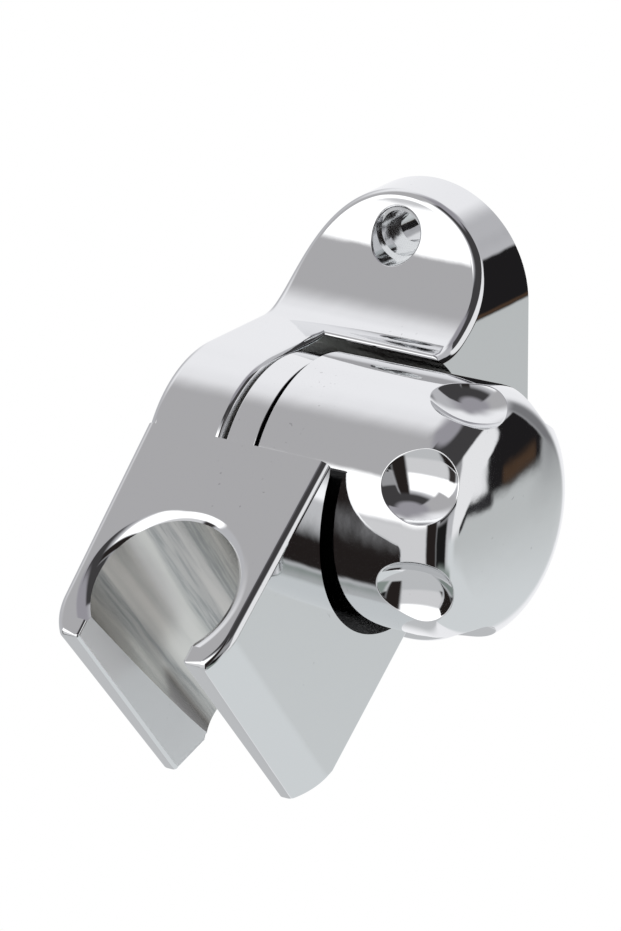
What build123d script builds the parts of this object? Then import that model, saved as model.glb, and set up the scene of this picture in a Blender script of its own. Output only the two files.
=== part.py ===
from build123d import *
import os
from math import acos, asin, atan, cos, degrees, radians, sin, sqrt

os.makedirs("parts", exist_ok=True)

# Wall-mounted holder for a hand shower. All sizes are in millimetres.
# Origin: middle of the wall face. +X runs along the barrel to the knob,
# +Y points into the wall, +Z is up.

# Wall bracket: a moulded shell with two rounded ends and one ear
bracket_width = 34.4
lobe_rise = 20.0
standoff = 38.3
ear_radius = 18.5
ear_width = 13.4
barrel_clearance_radius = 22.0
end_depth = 8.3
bend_radius = 8.3
bend_turn = 30.0
sweep_radius = 23.0
shell_wall = 2.6
face_round = 1.6
edge_round = 0.6
roof_lip = 0.68
roof_setback = sqrt(barrel_clearance_radius ** 2 - (ear_radius - roof_lip) ** 2)

# Wall screws, in counterbored holes through bosses
screw_rise = 30.3
screw_offset = -0.8
screw_radius = 2.4
screw_head_radius = 4.2
screw_floor = 4.9
screw_boss_wall = 2.2
screw_rim_round = 0.4
rib_thickness = 1.8

# Pivot stud, moulded into the ear
stud_radius = 3.0
stud_boss_radius = 8.0
stud_head_flats = 10.0
stud_head_thickness = 4.0
stud_head_cover = 4.2
stud_flat_depth = 0.6
stud_reach = 20.0
stud_tip_chamfer = 0.8

# Stack of washers between the ear, the hub and the knob
inner_washer_thickness = 1.2
hub_thickness = 4.6
outer_washer_thickness = 1.0
thrust_washer_thickness = 1.5
inner_washer_radius = 15.0
outer_washer_radius = 13.0
thrust_washer_radius = 14.0
washer_hole_radius = 5.6
running_clearance = 0.05
flat_clearance = 0.10

# Cradle: hub disc, and a block with the conical socket and its mouth
cradle_tilt = 40.5
hub_radius = 18.5
bush_radius = 5.0
cradle_offset = 2.25
plate_rise = 22.1
plate_rear = 7.9
jaw_reach = 45.8
block_depth = 42.9
rear_half_width = 16.5
plan_taper = 0.027
side_draft = 0.033
corner_radius = 10.0
socket_setback = 11.8
socket_centre = jaw_reach - socket_setback
socket_top_radius = 12.0
socket_bottom_radius = 9.9
lip_radius = 14.0
lip_depth = 0.95
tip_land = 3.4
lip_end = jaw_reach - tip_land
mouth_width = 19.0
corner_run = 6.8
corner_start = jaw_reach - corner_run
toe_run = 7.8
toe_start = jaw_reach - toe_run
toe_rise = 3.1
plate_round = 1.0
jaw_round = 0.6

# Clamp knob: hollow moulding with dimples and a threaded insert
knob_gap = 0.3
knob_length = 37.6
knob_rim_radius = 19.65
knob_radius = 20.05
knob_shoulder = 7.3
knob_crown = 2.4
knob_rim_round = 0.8
knob_wall = 3.0
knob_end_wall = 4.6
knob_boss_radius = 8.5
knob_rib_thickness = 1.6
knob_rib_setback = 6.0
dimple_count = 7
dimple_start = 30.0
dimple_place = 29.9
dimple_length = 11.6
dimple_drop = 3.7
dimple_sphere = 11.0
insert_radius = 4.5
insert_length = 12.0

# Positions along the barrel
bracket_left = -bracket_width / 2
ear_face = bracket_left + ear_width
hub_left = ear_face + inner_washer_thickness
hub_right = hub_left + hub_thickness
thrust_left = hub_right + outer_washer_thickness
thrust_right = thrust_left + thrust_washer_thickness
knob_left = hub_right + knob_gap
knob_end = knob_left + knob_length
stud_head_left = bracket_left + stud_head_cover
stud_head_right = stud_head_left + stud_head_thickness
stud_tip = thrust_right + stud_reach
bracket_top = lobe_rise + bracket_width / 2

# The barrel's axis, and planes square to it
barrel_axis = Axis((0, -standoff, 0), (1, 0, 0))


def across_barrel(x):
    """Plane square to the barrel at x, its own x axis towards the front and y axis down."""
    return Plane(origin=(x, -standoff, 0), x_dir=(0, -1, 0), z_dir=(1, 0, 0))


def side_plane(x):
    """Plane square to the barrel at x, with y and z of the model as its axes."""
    return Plane(origin=(x, 0, 0), x_dir=(0, 1, 0), z_dir=(1, 0, 0))


along_barrel = Plane.XZ.offset(standoff)

# Front profile: a shelf over the barrel, a short bend up and a long sweep to the end.
# The sweep ends at the height of the bracket's end, at end_depth from the wall.
bend_top = ear_radius + bend_radius * (1 - cos(radians(bend_turn)))
sweep_turn = degrees(acos(cos(radians(bend_turn)) - (bracket_top - bend_top) / sweep_radius))
sweep_run = sweep_radius * (sin(radians(sweep_turn)) - sin(radians(bend_turn)))
sweep_start = -end_depth - sweep_run
shelf_end = sweep_start - bend_radius * sin(radians(bend_turn))


def bracket_profile(inset, back):
    """Half of the bracket seen from the side, set in by inset, closed at y = back."""
    shelf = ear_radius - inset
    bend = bend_radius + inset
    sweep = sweep_radius + inset
    centre_bend = (shelf_end, ear_radius + bend_radius)
    lift = (sweep_radius - bend_radius) * cos(radians(bend_turn))
    centre_sweep = (shelf_end - (sweep_radius - bend_radius) * sin(radians(bend_turn)),
                    ear_radius + bend_radius + lift)
    end_height = bracket_top - inset
    end_turn = degrees(acos((centre_sweep[1] - end_height) / sweep))
    with BuildSketch(side_plane(bracket_left)) as half:
        with BuildLine():
            ear = CenterArc((-standoff, 0), shelf, 90, 90)
            top = Line(ear @ 0, (shelf_end, shelf))
            low = CenterArc(centre_bend, bend, 270, bend_turn)
            high = CenterArc(centre_sweep, sweep, 270 + bend_turn, end_turn - bend_turn)
            crest = Line(high @ 1, (back, end_height))
            wall = Line(crest @ 1, (back, 0))
            Line(wall @ 1, ear @ 1)
        make_face()
        mirror(about=Plane.XZ)
    return half.sketch


# Pivot stud: hex head in the ear, plain shank with two flats for the thrust washer
with BuildPart() as pivot_stud:
    with BuildSketch(across_barrel(stud_head_left)):
        RegularPolygon(radius=stud_head_flats / 2, side_count=6, major_radius=False)
    extrude(amount=stud_head_thickness)
    with BuildSketch(across_barrel(stud_head_right)):
        Circle(stud_radius)
    extrude(amount=stud_tip - stud_head_right)
    chamfer(pivot_stud.edges().sort_by(Axis.X)[-1], stud_tip_chamfer)
    with BuildSketch(across_barrel(thrust_left - flat_clearance)):
        with Locations((0, stud_radius), (0, -stud_radius)):
            Rectangle(2 * stud_radius, 2 * stud_flat_depth)
    extrude(amount=stud_tip, mode=Mode.SUBTRACT)
pivot_stud.part.label = "pivot_stud"
export_step(pivot_stud.part, "parts/pivot_stud.step")

# Hollow behind the bracket's wall, open at the back, with its bosses and ribs left standing
with BuildPart() as back_core:
    extrude(bracket_profile(shell_wall, shell_wall), amount=bracket_width)
    with BuildSketch(Plane.XZ.offset(-shell_wall)):
        SlotCenterToCenter(2 * lobe_rise, bracket_width - 2 * shell_wall, rotation=90)
    extrude(amount=standoff + ear_radius + shell_wall, mode=Mode.INTERSECT)
    with BuildSketch(across_barrel(ear_face - shell_wall)):
        Circle(barrel_clearance_radius + shell_wall)
    extrude(amount=bracket_width, mode=Mode.SUBTRACT)
    with BuildSketch(across_barrel(bracket_left)):
        Circle(stud_boss_radius)
    extrude(amount=ear_width, mode=Mode.SUBTRACT)
    with BuildSketch(Plane.XZ.offset(-shell_wall)):
        with Locations((screw_offset, screw_rise), (screw_offset, -screw_rise)):
            Circle(screw_head_radius + screw_boss_wall)
    extrude(amount=standoff, mode=Mode.SUBTRACT)
    with BuildSketch(Plane.XZ.offset(-shell_wall)):
        with Locations((0, lobe_rise), (0, -lobe_rise)):
            Rectangle(bracket_width, rib_thickness)
        Rectangle(rib_thickness, 2 * screw_rise)
    extrude(amount=standoff, mode=Mode.SUBTRACT)

# Wall bracket: shelf, ear and two swept ends, cut round the barrel and hollow at the back
with BuildPart() as wall_bracket:
    extrude(bracket_profile(0, 0), amount=bracket_width)
    with BuildSketch(Plane.XZ):
        SlotCenterToCenter(2 * lobe_rise, bracket_width, rotation=90)
    extrude(amount=standoff + ear_radius, mode=Mode.INTERSECT)
    wall_rim = wall_bracket.edges().group_by(Axis.Y)[-1]
    across = wall_bracket.edges().filter_by(Axis.X)
    fillet(wall_bracket.edges() - wall_rim - across, face_round)
    with BuildSketch(across_barrel(ear_face)):
        Circle(barrel_clearance_radius)
        with Locations((standoff / 2 - roof_setback, 0)):
            Rectangle(standoff, 2 * bracket_top)
    extrude(amount=bracket_width, mode=Mode.SUBTRACT)
    ear_rim = wall_bracket.edges().filter_by_position(Axis.X, ear_face, ear_face).sort_by(Axis.Y)[:3]
    roof_rim = wall_bracket.faces().filter_by(Axis.Y).group_by(Axis.Y)[0].edges()
    fillet(ear_rim + roof_rim.filter_by(Axis.X).group_by(SortBy.LENGTH)[0], edge_round)
    add(back_core.part, mode=Mode.SUBTRACT)
    with Locations(Plane.XZ.offset(end_depth)):
        with Locations((screw_offset, screw_rise), (screw_offset, -screw_rise)):
            Hole(screw_radius, depth=2 * end_depth)
    with BuildSketch(Plane.XZ.offset(screw_floor)):
        with Locations((screw_offset, screw_rise), (screw_offset, -screw_rise)):
            Circle(screw_head_radius)
    extrude(amount=standoff, mode=Mode.SUBTRACT)
    fillet(wall_bracket.edges(Select.LAST).filter_by(GeomType.BSPLINE), screw_rim_round)
    add(pivot_stud.part, mode=Mode.SUBTRACT)
wall_bracket.part.label = "wall_bracket"
export_step(wall_bracket.part, "parts/wall_bracket.step")

# Stack on the stud: friction washers, the bush in the hub and the keyed thrust washer
with BuildPart() as inner_friction_washer:
    with BuildSketch(across_barrel(ear_face)):
        Circle(inner_washer_radius)
        Circle(washer_hole_radius, mode=Mode.SUBTRACT)
    extrude(amount=inner_washer_thickness)
inner_friction_washer.part.label = "inner_friction_washer"
export_step(inner_friction_washer.part, "parts/inner_friction_washer.step")

with BuildPart() as hub_bush:
    with BuildSketch(across_barrel(hub_left)):
        Circle(bush_radius)
        Circle(stud_radius + running_clearance, mode=Mode.SUBTRACT)
    extrude(amount=hub_thickness)
hub_bush.part.label = "hub_bush"
export_step(hub_bush.part, "parts/hub_bush.step")

with BuildPart() as outer_friction_washer:
    with BuildSketch(across_barrel(hub_right)):
        Circle(outer_washer_radius)
        Circle(washer_hole_radius, mode=Mode.SUBTRACT)
    extrude(amount=outer_washer_thickness)
outer_friction_washer.part.label = "outer_friction_washer"
export_step(outer_friction_washer.part, "parts/outer_friction_washer.step")

with BuildPart() as thrust_washer:
    with BuildSketch(across_barrel(thrust_left)):
        Circle(thrust_washer_radius)
        with BuildSketch(mode=Mode.PRIVATE) as keyed_hole:
            Circle(stud_radius + running_clearance)
            Rectangle(4 * stud_radius, 2 * (stud_radius - stud_flat_depth + flat_clearance),
                      mode=Mode.INTERSECT)
        add(keyed_hole.sketch, mode=Mode.SUBTRACT)
    extrude(amount=thrust_washer_thickness)
thrust_washer.part.label = "thrust_washer"
export_step(thrust_washer.part, "parts/thrust_washer.step")

# Cradle, drawn tilted as it is clamped: u runs along its plate, v down its socket
tilt = radians(cradle_tilt)
u_dir = Vector(0, -cos(tilt), -sin(tilt))
v_dir = Vector(0, sin(tilt), -cos(tilt))


def cradle_plane(v):
    """Plane across the socket at depth v, its y axis along u, centred on the cradle."""
    origin = Vector(cradle_offset, -standoff, 0) + v_dir * v
    return Plane(origin=origin, x_dir=(1, 0, 0), z_dir=v_dir)


def cradle_side(x):
    """Plane square to the barrel at x, with u and v as its axes."""
    return Plane(origin=(x, -standoff, 0), x_dir=u_dir, z_dir=(1, 0, 0))


def block_outline(v):
    """Outline of the cradle's block at depth v below the plate's own surface."""
    rear = rear_half_width - side_draft * v
    front = rear - plan_taper * (corner_start - plate_rear)
    slant = atan(plan_taper)
    centre = (front - corner_radius * cos(slant), corner_start - corner_radius * sin(slant))
    sweep = degrees(asin((jaw_reach - centre[1]) / corner_radius) - slant)
    with BuildSketch(cradle_plane(v - plate_rise)) as outline:
        with BuildLine():
            side = Line((rear, plate_rear), (front, corner_start))
            corner = CenterArc(centre, corner_radius, degrees(slant), sweep)
            Line(corner @ 1, (0, jaw_reach))
            Line((0, plate_rear), side @ 0)
            mirror(about=Plane.YZ)
        make_face()
    return outline.sketch


def socket_radius(v):
    """Radius of the socket's cone at depth v below the plate."""
    slope = (socket_top_radius - socket_bottom_radius) / (block_depth - lip_depth)
    return socket_top_radius - slope * (v - lip_depth)


# Shallow bevelled recess round the socket; it stops short of the jaw tips
with BuildPart() as lip_recess:
    for step in (-1, 2):
        with BuildSketch(cradle_plane(step * lip_depth - plate_rise)):
            with Locations((0, socket_centre)):
                Circle(lip_radius - step * (lip_radius - socket_top_radius))
    loft()
    with BuildSketch(cradle_plane(-2 * lip_depth - plate_rise)):
        with Locations((0, lip_end / 2)):
            Rectangle(4 * lip_radius, lip_end)
    extrude(amount=4 * lip_depth, mode=Mode.INTERSECT)

# Conical socket, longer than the block at both ends
with BuildPart() as socket_cone:
    for depth in (-lip_depth, block_depth + lip_depth):
        with BuildSketch(cradle_plane(depth - plate_rise)):
            with Locations((0, socket_centre)):
                Circle(socket_radius(depth))
    loft()

with BuildPart() as cradle:
    loft([block_outline(0), block_outline(block_depth)], ruled=True)
    plate = cradle.faces().sort_by(Axis((0, 0, 0), v_dir))[0]
    fillet(plate.edges().sort_by(Axis((0, 0, 0), u_dir))[1:], plate_round)
    with BuildSketch(cradle_side(-2 * bracket_width)):
        with BuildLine():
            bottom = block_depth - plate_rise
            Polyline((toe_start, bottom), (2 * jaw_reach - toe_start, bottom - 2 * toe_rise),
                     (2 * jaw_reach, 2 * bottom), (toe_start, 2 * bottom), close=True)
        make_face()
    extrude(amount=4 * bracket_width, mode=Mode.SUBTRACT)
    with BuildSketch(across_barrel(hub_right)):
        Circle(barrel_clearance_radius)
    extrude(amount=bracket_width, mode=Mode.SUBTRACT)
    with BuildSketch(across_barrel(hub_left)):
        Circle(barrel_clearance_radius)
    extrude(amount=-bracket_width, mode=Mode.SUBTRACT)
    with BuildSketch(across_barrel(hub_left)):
        Circle(hub_radius)
    extrude(amount=hub_thickness)
    with BuildSketch(cradle_plane(-plate_rise - lip_depth)):
        with Locations((0, socket_centre + jaw_reach / 2)):
            Rectangle(mouth_width, jaw_reach)
    extrude(amount=2 * block_depth, mode=Mode.SUBTRACT)
    add(socket_cone.part, mode=Mode.SUBTRACT)
    add(lip_recess.part, mode=Mode.SUBTRACT)
    for side in (-1, 1):
        wall = cradle_offset + side * mouth_width / 2
        jaw_edges = cradle.edges().filter_by_position(Axis.X, wall, wall)
        fillet(jaw_edges.sort_by(Axis((0, 0, 0), u_dir))[-1], jaw_round)
    with BuildSketch(across_barrel(hub_left)):
        Circle(bush_radius)
    extrude(amount=hub_thickness, mode=Mode.SUBTRACT)
cradle.part.label = "cradle"
export_step(cradle.part, "parts/cradle.step")

# Clamp knob: turned outline, hollow from the hub side, with a ribbed boss for its insert
dimple_middle = knob_left + dimple_place
dimple_chord = sqrt(dimple_length ** 2 + dimple_drop ** 2)
dimple_lift = sqrt(dimple_sphere ** 2 - dimple_chord ** 2 / 4)
dimple_x = dimple_middle + dimple_lift * dimple_drop / dimple_chord
dimple_radius = knob_radius - dimple_drop / 2 + dimple_lift * dimple_length / dimple_chord

with BuildPart() as knob_core:
    with BuildSketch(along_barrel) as hollow:
        inner_left = knob_left - knob_gap
        inner_right = knob_end - knob_end_wall
        with BuildLine():
            Polyline((inner_left, 0), (inner_left, knob_rim_radius - knob_wall),
                     (inner_right, knob_radius - knob_wall), (inner_right, 0), close=True)
        make_face()
        fillet(hollow.vertices().group_by(Axis.Y)[-1], knob_shoulder)
    revolve(axis=barrel_axis)
    with BuildSketch(across_barrel(thrust_right)):
        Circle(knob_boss_radius)
    extrude(amount=knob_length, mode=Mode.SUBTRACT)
    with BuildSketch(across_barrel(thrust_right + knob_rib_setback)):
        with PolarLocations(knob_radius / 2, dimple_count, start_angle=-dimple_start):
            Rectangle(knob_radius, knob_rib_thickness)
    extrude(amount=knob_length, mode=Mode.SUBTRACT)

with BuildPart() as clamp_knob:
    with BuildSketch(along_barrel) as turned:
        with BuildLine():
            flank = Line((knob_left, knob_rim_radius), (knob_end - knob_crown, knob_radius))
            crown_radius = (knob_radius ** 2 + knob_crown ** 2) / (2 * knob_crown)
            RadiusArc(flank @ 1, (knob_end, 0), crown_radius)
            Polyline((knob_end, 0), (knob_left, 0), flank @ 0)
        make_face()
        fillet(turned.vertices().group_by(Axis.Y)[-1], knob_shoulder)
    revolve(axis=barrel_axis)
    rim = clamp_knob.edges().filter_by(GeomType.CIRCLE).sort_by(Axis.X)[0]
    fillet(rim, knob_rim_round)
    with Locations(across_barrel(dimple_x)):
        with PolarLocations(dimple_radius, dimple_count, start_angle=-dimple_start):
            Sphere(dimple_sphere, mode=Mode.SUBTRACT)
    add(knob_core.part, mode=Mode.SUBTRACT)
    with BuildSketch(across_barrel(thrust_right)):
        Circle(insert_radius)
    extrude(amount=insert_length, mode=Mode.SUBTRACT)
    with BuildSketch(across_barrel(thrust_right)):
        Circle(stud_radius + flat_clearance)
    extrude(amount=stud_reach + flat_clearance, mode=Mode.SUBTRACT)
clamp_knob.part.label = "clamp_knob"
export_step(clamp_knob.part, "parts/clamp_knob.step")

with BuildPart() as knob_insert:
    with BuildSketch(across_barrel(thrust_right)):
        Circle(insert_radius)
        Circle(stud_radius + running_clearance, mode=Mode.SUBTRACT)
    extrude(amount=insert_length)
knob_insert.part.label = "knob_insert"
export_step(knob_insert.part, "parts/knob_insert.step")
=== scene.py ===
"""Chrome wall holder for a hand shower: its visual model, studio and camera.

Every length in the classes is in millimetres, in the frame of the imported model:
+X along the barrel to the knob, +Y into the wall, +Z up. Meshes are put in in metres.
"""

import logging
import math
from dataclasses import dataclass
from enum import Enum, IntEnum
from typing import Callable, Sequence

import bmesh
import bpy
import numpy as np
from mathutils import Matrix, Vector

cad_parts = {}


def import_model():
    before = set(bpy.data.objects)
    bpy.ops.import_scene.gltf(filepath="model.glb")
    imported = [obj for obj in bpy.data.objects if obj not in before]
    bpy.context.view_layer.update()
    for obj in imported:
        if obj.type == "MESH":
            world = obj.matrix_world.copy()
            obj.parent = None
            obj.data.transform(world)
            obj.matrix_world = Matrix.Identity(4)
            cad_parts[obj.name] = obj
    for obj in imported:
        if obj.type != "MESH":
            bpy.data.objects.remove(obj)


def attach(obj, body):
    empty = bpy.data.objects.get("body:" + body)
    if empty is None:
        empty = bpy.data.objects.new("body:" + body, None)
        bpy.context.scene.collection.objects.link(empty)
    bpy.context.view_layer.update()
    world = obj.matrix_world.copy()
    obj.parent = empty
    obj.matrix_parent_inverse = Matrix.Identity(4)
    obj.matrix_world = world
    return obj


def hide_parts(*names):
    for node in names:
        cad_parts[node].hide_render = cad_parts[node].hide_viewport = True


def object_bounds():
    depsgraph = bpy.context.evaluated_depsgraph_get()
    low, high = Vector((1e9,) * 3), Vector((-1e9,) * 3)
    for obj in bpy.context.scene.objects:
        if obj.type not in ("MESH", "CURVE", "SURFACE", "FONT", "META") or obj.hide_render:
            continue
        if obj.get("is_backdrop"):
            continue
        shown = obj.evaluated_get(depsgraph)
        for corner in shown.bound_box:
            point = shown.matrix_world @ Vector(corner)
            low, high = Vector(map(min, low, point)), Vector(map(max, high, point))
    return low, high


log = logging.getLogger("holder")

MM = 0.001
CRADLE_TILT = 40.5
RIPPLE_HEIGHT = 0.1
STREAK_LENGTH = 40.0
# Streaks in the socket: lines in a metre, and the noise's values at their edges
BROAD_STREAKS = (260.0, 0.40, 0.62)
FINE_STREAKS = (1700.0, 0.40, 0.70)
Array = np.ndarray
Colour = tuple[float, float, float]
Place = tuple[float, float, float]


class Axis(IntEnum):
    """Axes that a skin can be mirrored along."""

    X = 0
    Z = 2


class Zone(IntEnum):
    """Zones of a piece's skin, in the order in which its finishes are given."""

    OUTSIDE = 0
    HOLLOW = 1
    # Faces coloured dark as painted shade, in gaps between parts and on shadowed roundings.
    SEAM = 2
    FLAT = 3
    MOUTH = 4


class Body(Enum):
    """Bodies that the new pieces move with."""

    BRACKET = "bracket_body"
    CRADLE = "cradle_body"
    KNOB = "knob_body"


class Stock(Enum):
    """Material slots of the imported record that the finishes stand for."""

    PLATED = "plated_body"
    BRASS = "brass_insert"
    STEEL = "steel_washer"
    RUBBER = "friction_washer"
    PLASTIC = "bush_plastic"


class Nodes:
    """Short ways to add and join nodes in one node tree."""

    def __init__(self, tree: bpy.types.NodeTree) -> None:
        """Keep the tree that the nodes go into.

        Args:
            tree: A material's, world's or group's node tree.
        """
        self.tree = tree

    def add(self, kind: str, **values: object) -> bpy.types.Node:
        """Add one node and set its properties.

        Args:
            kind: The node's type, without the "ShaderNode" in front.
            values: Properties of the node by name.

        Returns:
            The new node.
        """
        node = self.tree.nodes.new("ShaderNode" + kind)
        for name, value in values.items():
            setattr(node, name, value)
        return node

    def join(self, source: bpy.types.NodeSocket, target: bpy.types.NodeSocket) -> None:
        """Link one socket to another."""
        self.tree.links.new(source, target)

    def math(self, operation: str, *terms: object) -> bpy.types.NodeSocket:
        """Add a Math node over sockets or numbers.

        Args:
            operation: The Math node's operation, such as "MULTIPLY".
            terms: Its inputs in order, each a socket or a number.

        Returns:
            The node's output socket.
        """
        node = self.add("Math", operation=operation)
        for slot, term in zip(node.inputs, terms):
            if isinstance(term, (int, float)):
                slot.default_value = term
            else:
                self.join(term, slot)
        return node.outputs[0]

    def ramp(self, value: bpy.types.NodeSocket, low: float, high: float,
             to_low: float = 0.0, to_high: float = 1.0) -> bpy.types.NodeSocket:
        """Map a value smoothly from one range to another.

        Args:
            value: The socket to map.
            low: Value that gives to_low.
            high: Value that gives to_high.
            to_low: Result at low.
            to_high: Result at high.

        Returns:
            The mapped value's socket.
        """
        node = self.add("MapRange", interpolation_type="SMOOTHSTEP")
        self.join(value, node.inputs["Value"])
        for name, number in (("From Min", low), ("From Max", high), ("To Min", to_low), ("To Max", to_high)):
            node.inputs[name].default_value = number
        return node.outputs["Result"]

    def noise(self, place: bpy.types.NodeSocket, scale: float, detail: float) -> bpy.types.NodeSocket:
        """Add a noise.

        Args:
            place: The coordinates that it reads.
            scale: Its swellings in a metre.
            detail: How many finer layers it has.

        Returns:
            Its value's socket.
        """
        node = self.add("TexNoise")
        node.inputs["Scale"].default_value = scale
        node.inputs["Detail"].default_value = detail
        self.join(place, node.inputs["Vector"])
        return node.outputs["Fac"]

    def blend(self, factor: bpy.types.NodeSocket, first: object, second: object) -> bpy.types.NodeSocket:
        """Mix two colours by a factor.

        Args:
            factor: 0 gives the first colour, 1 the second.
            first: A colour or a colour socket.
            second: A colour or a colour socket.

        Returns:
            The mixed colour's socket.
        """
        node = self.add("Mix", data_type="RGBA")
        self.join(factor, node.inputs[0])
        for slot, colour in ((node.inputs[6], first), (node.inputs[7], second)):
            if isinstance(colour, tuple):
                slot.default_value = (*colour, 1.0)
            else:
                self.join(colour, slot)
        return node.outputs[2]


class SurfaceGroups:
    """Shader node groups that more than one finish uses, each built once."""

    NAME = "surface_marks"
    # Noises of the ripple, the fine ripple, the cloud and the pits: scale and detail
    NOISES = ((190.0, 1.0), (700.0, 2.0), (60.0, 3.0), (1500.0, 0.0))
    PIT_PEAK = (0.80, 0.86)
    PIT_CLOUD = (0.54, 0.66)
    HAZE_CLOUD = (0.35, 0.75)
    FINE_SHARE = 0.09

    @classmethod
    def marks(cls) -> bpy.types.NodeTree:
        """Build the group for pits, ripple of the plating and cloudy gloss.

        The ripple is a wide noise with a finer one on it, the cloud is another noise,
        and the pits are the few peaks of a small noise. All read Object coordinates.

        Returns:
            The node group, with inputs Ripple, Haze and Gloss, and outputs Roughness,
            Height and Mask.
        """
        found = bpy.data.node_groups.get(cls.NAME)
        if found:
            return found
        tree = bpy.data.node_groups.new(cls.NAME, "ShaderNodeTree")
        for label in ("Ripple", "Haze", "Gloss"):
            tree.interface.new_socket(label, in_out="INPUT", socket_type="NodeSocketFloat")
        for label in ("Roughness", "Height", "Mask"):
            tree.interface.new_socket(label, in_out="OUTPUT", socket_type="NodeSocketFloat")
        n = Nodes(tree)
        given = tree.nodes.new("NodeGroupInput").outputs
        made = tree.nodes.new("NodeGroupOutput").inputs
        place = n.add("TexCoord").outputs["Object"]
        noises = []
        for scale, detail in cls.NOISES:
            noises.append(n.noise(place, scale, detail))
        wide, fine, cloud, small = noises
        pits = n.math("MULTIPLY", n.ramp(small, *cls.PIT_PEAK), n.ramp(cloud, *cls.PIT_CLOUD))
        haze = n.math("MULTIPLY", n.math("ADD", n.ramp(cloud, *cls.HAZE_CLOUD), pits), given["Haze"])
        detail = n.math("MULTIPLY", fine, cls.FINE_SHARE)
        swell = n.math("MULTIPLY", n.math("ADD", wide, detail), given["Ripple"])
        n.join(n.math("ADD", given["Gloss"], haze), made["Roughness"])
        n.join(swell, made["Height"])
        n.join(pits, made["Mask"])
        return tree


@dataclass(frozen=True)
class Finish:
    """One finish of the holder, with the values of its shader.

    The worn colour shows in pits and streaks. Gloss is the least roughness, haze what the
    cloudy patches add to it, and streak what lengthwise streaks add.
    """

    name: str
    base: Colour
    worn: Colour
    gloss: float
    haze: float
    ripple: float
    slot: Stock = Stock.PLATED
    metallic: float = 1.0
    streak: float = 0.0

    def material(self) -> bpy.types.Material:
        """Build the finish's material, or find it if it is there.

        Returns:
            A material whose gloss, ripple and pits come from the shared group.
        """
        found = bpy.data.materials.get(self.name)
        if found:
            return found
        made = bpy.data.materials.new(self.name)
        made.use_nodes = True
        n = Nodes(made.node_tree)
        shader = made.node_tree.nodes["Principled BSDF"]
        shader.inputs["Metallic"].default_value = self.metallic
        group = n.add("Group", node_tree=SurfaceGroups.marks())
        for label, number in (("Ripple", self.ripple), ("Haze", self.haze), ("Gloss", self.gloss)):
            group.inputs[label].default_value = number
        colour = n.blend(group.outputs["Mask"], self.base, self.worn)
        rough = group.outputs["Roughness"]
        if self.streak:
            lines = self.streaks(n)
            colour = n.blend(lines, colour, self.worn)
            rough = n.math("ADD", rough, n.math("MULTIPLY", lines, self.streak))
        n.join(colour, shader.inputs["Base Color"])
        n.join(rough, shader.inputs["Roughness"])
        bump = n.add("Bump")
        bump.inputs["Strength"].default_value = 1.0
        bump.inputs["Distance"].default_value = RIPPLE_HEIGHT * MM
        n.join(group.outputs["Height"], bump.inputs["Height"])
        n.join(bump.outputs["Normal"], shader.inputs["Normal"])
        return made

    @staticmethod
    def streaks(n: Nodes) -> bpy.types.NodeSocket:
        """Add broad and fine streaks down the cradle's socket.

        The coordinates are turned to the cradle's tilt and squeezed along the socket, so
        that a noise on them draws out into lines.

        Args:
            n: The material's nodes.

        Returns:
            The streaks' mask.
        """
        place = n.add("Mapping", vector_type="TEXTURE")
        place.inputs["Rotation"].default_value = (math.radians(CRADLE_TILT), 0.0, 0.0)
        place.inputs["Scale"].default_value = (1.0, 1.0, STREAK_LENGTH)
        n.join(n.add("TexCoord").outputs["Object"], place.inputs["Vector"])
        shares = []
        for scale, low, high in BROAD_STREAKS, FINE_STREAKS:
            shares.append(n.ramp(n.noise(place.outputs["Vector"], scale, 2.0), low, high))
        return n.math("MULTIPLY", shares[0], n.math("ADD", n.math("MULTIPLY", shares[1], 0.5), 0.5))


CHROME = Finish("bright_chrome", base=(0.84, 0.845, 0.855), worn=(0.66, 0.66, 0.67),
                gloss=0.03, haze=0.035, ripple=0.28)
FLAT_CHROME = Finish("flat_chrome", base=(0.84, 0.845, 0.855), worn=(0.66, 0.66, 0.67),
                     gloss=0.03, haze=0.035, ripple=0.07)
BORE_CHROME = Finish("bore_chrome", base=(0.82, 0.805, 0.78), worn=(0.44, 0.455, 0.46),
                     gloss=0.20, haze=0.03, ripple=0.1, streak=0.06)
SATIN_CHROME = Finish("satin_chrome", base=(0.94, 0.955, 0.97), worn=(0.84, 0.85, 0.86),
                      gloss=0.12, haze=0.08, ripple=0.2, metallic=0.45)
# Chrome made darker than the outside, which paints the shade inside recesses: the knob's hollow and the screw
# holes.
PAINTED_RECESS_SHADE = Finish("painted_recess_shade", base=(0.70, 0.71, 0.72), worn=(0.40, 0.40, 0.40),
                       gloss=0.09, haze=0.08, ripple=1.6)
# Near-black finish that paints shade: the knob's shadowed rim rounding, the cradle's rear wall and the hub face
# towards the knob.
PAINTED_SHADE_BLACK = Finish("painted_shade_black", base=(0.025, 0.025, 0.025), worn=(0.02, 0.02, 0.02),
                     gloss=0.40, haze=0.1, ripple=0.4)
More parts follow.
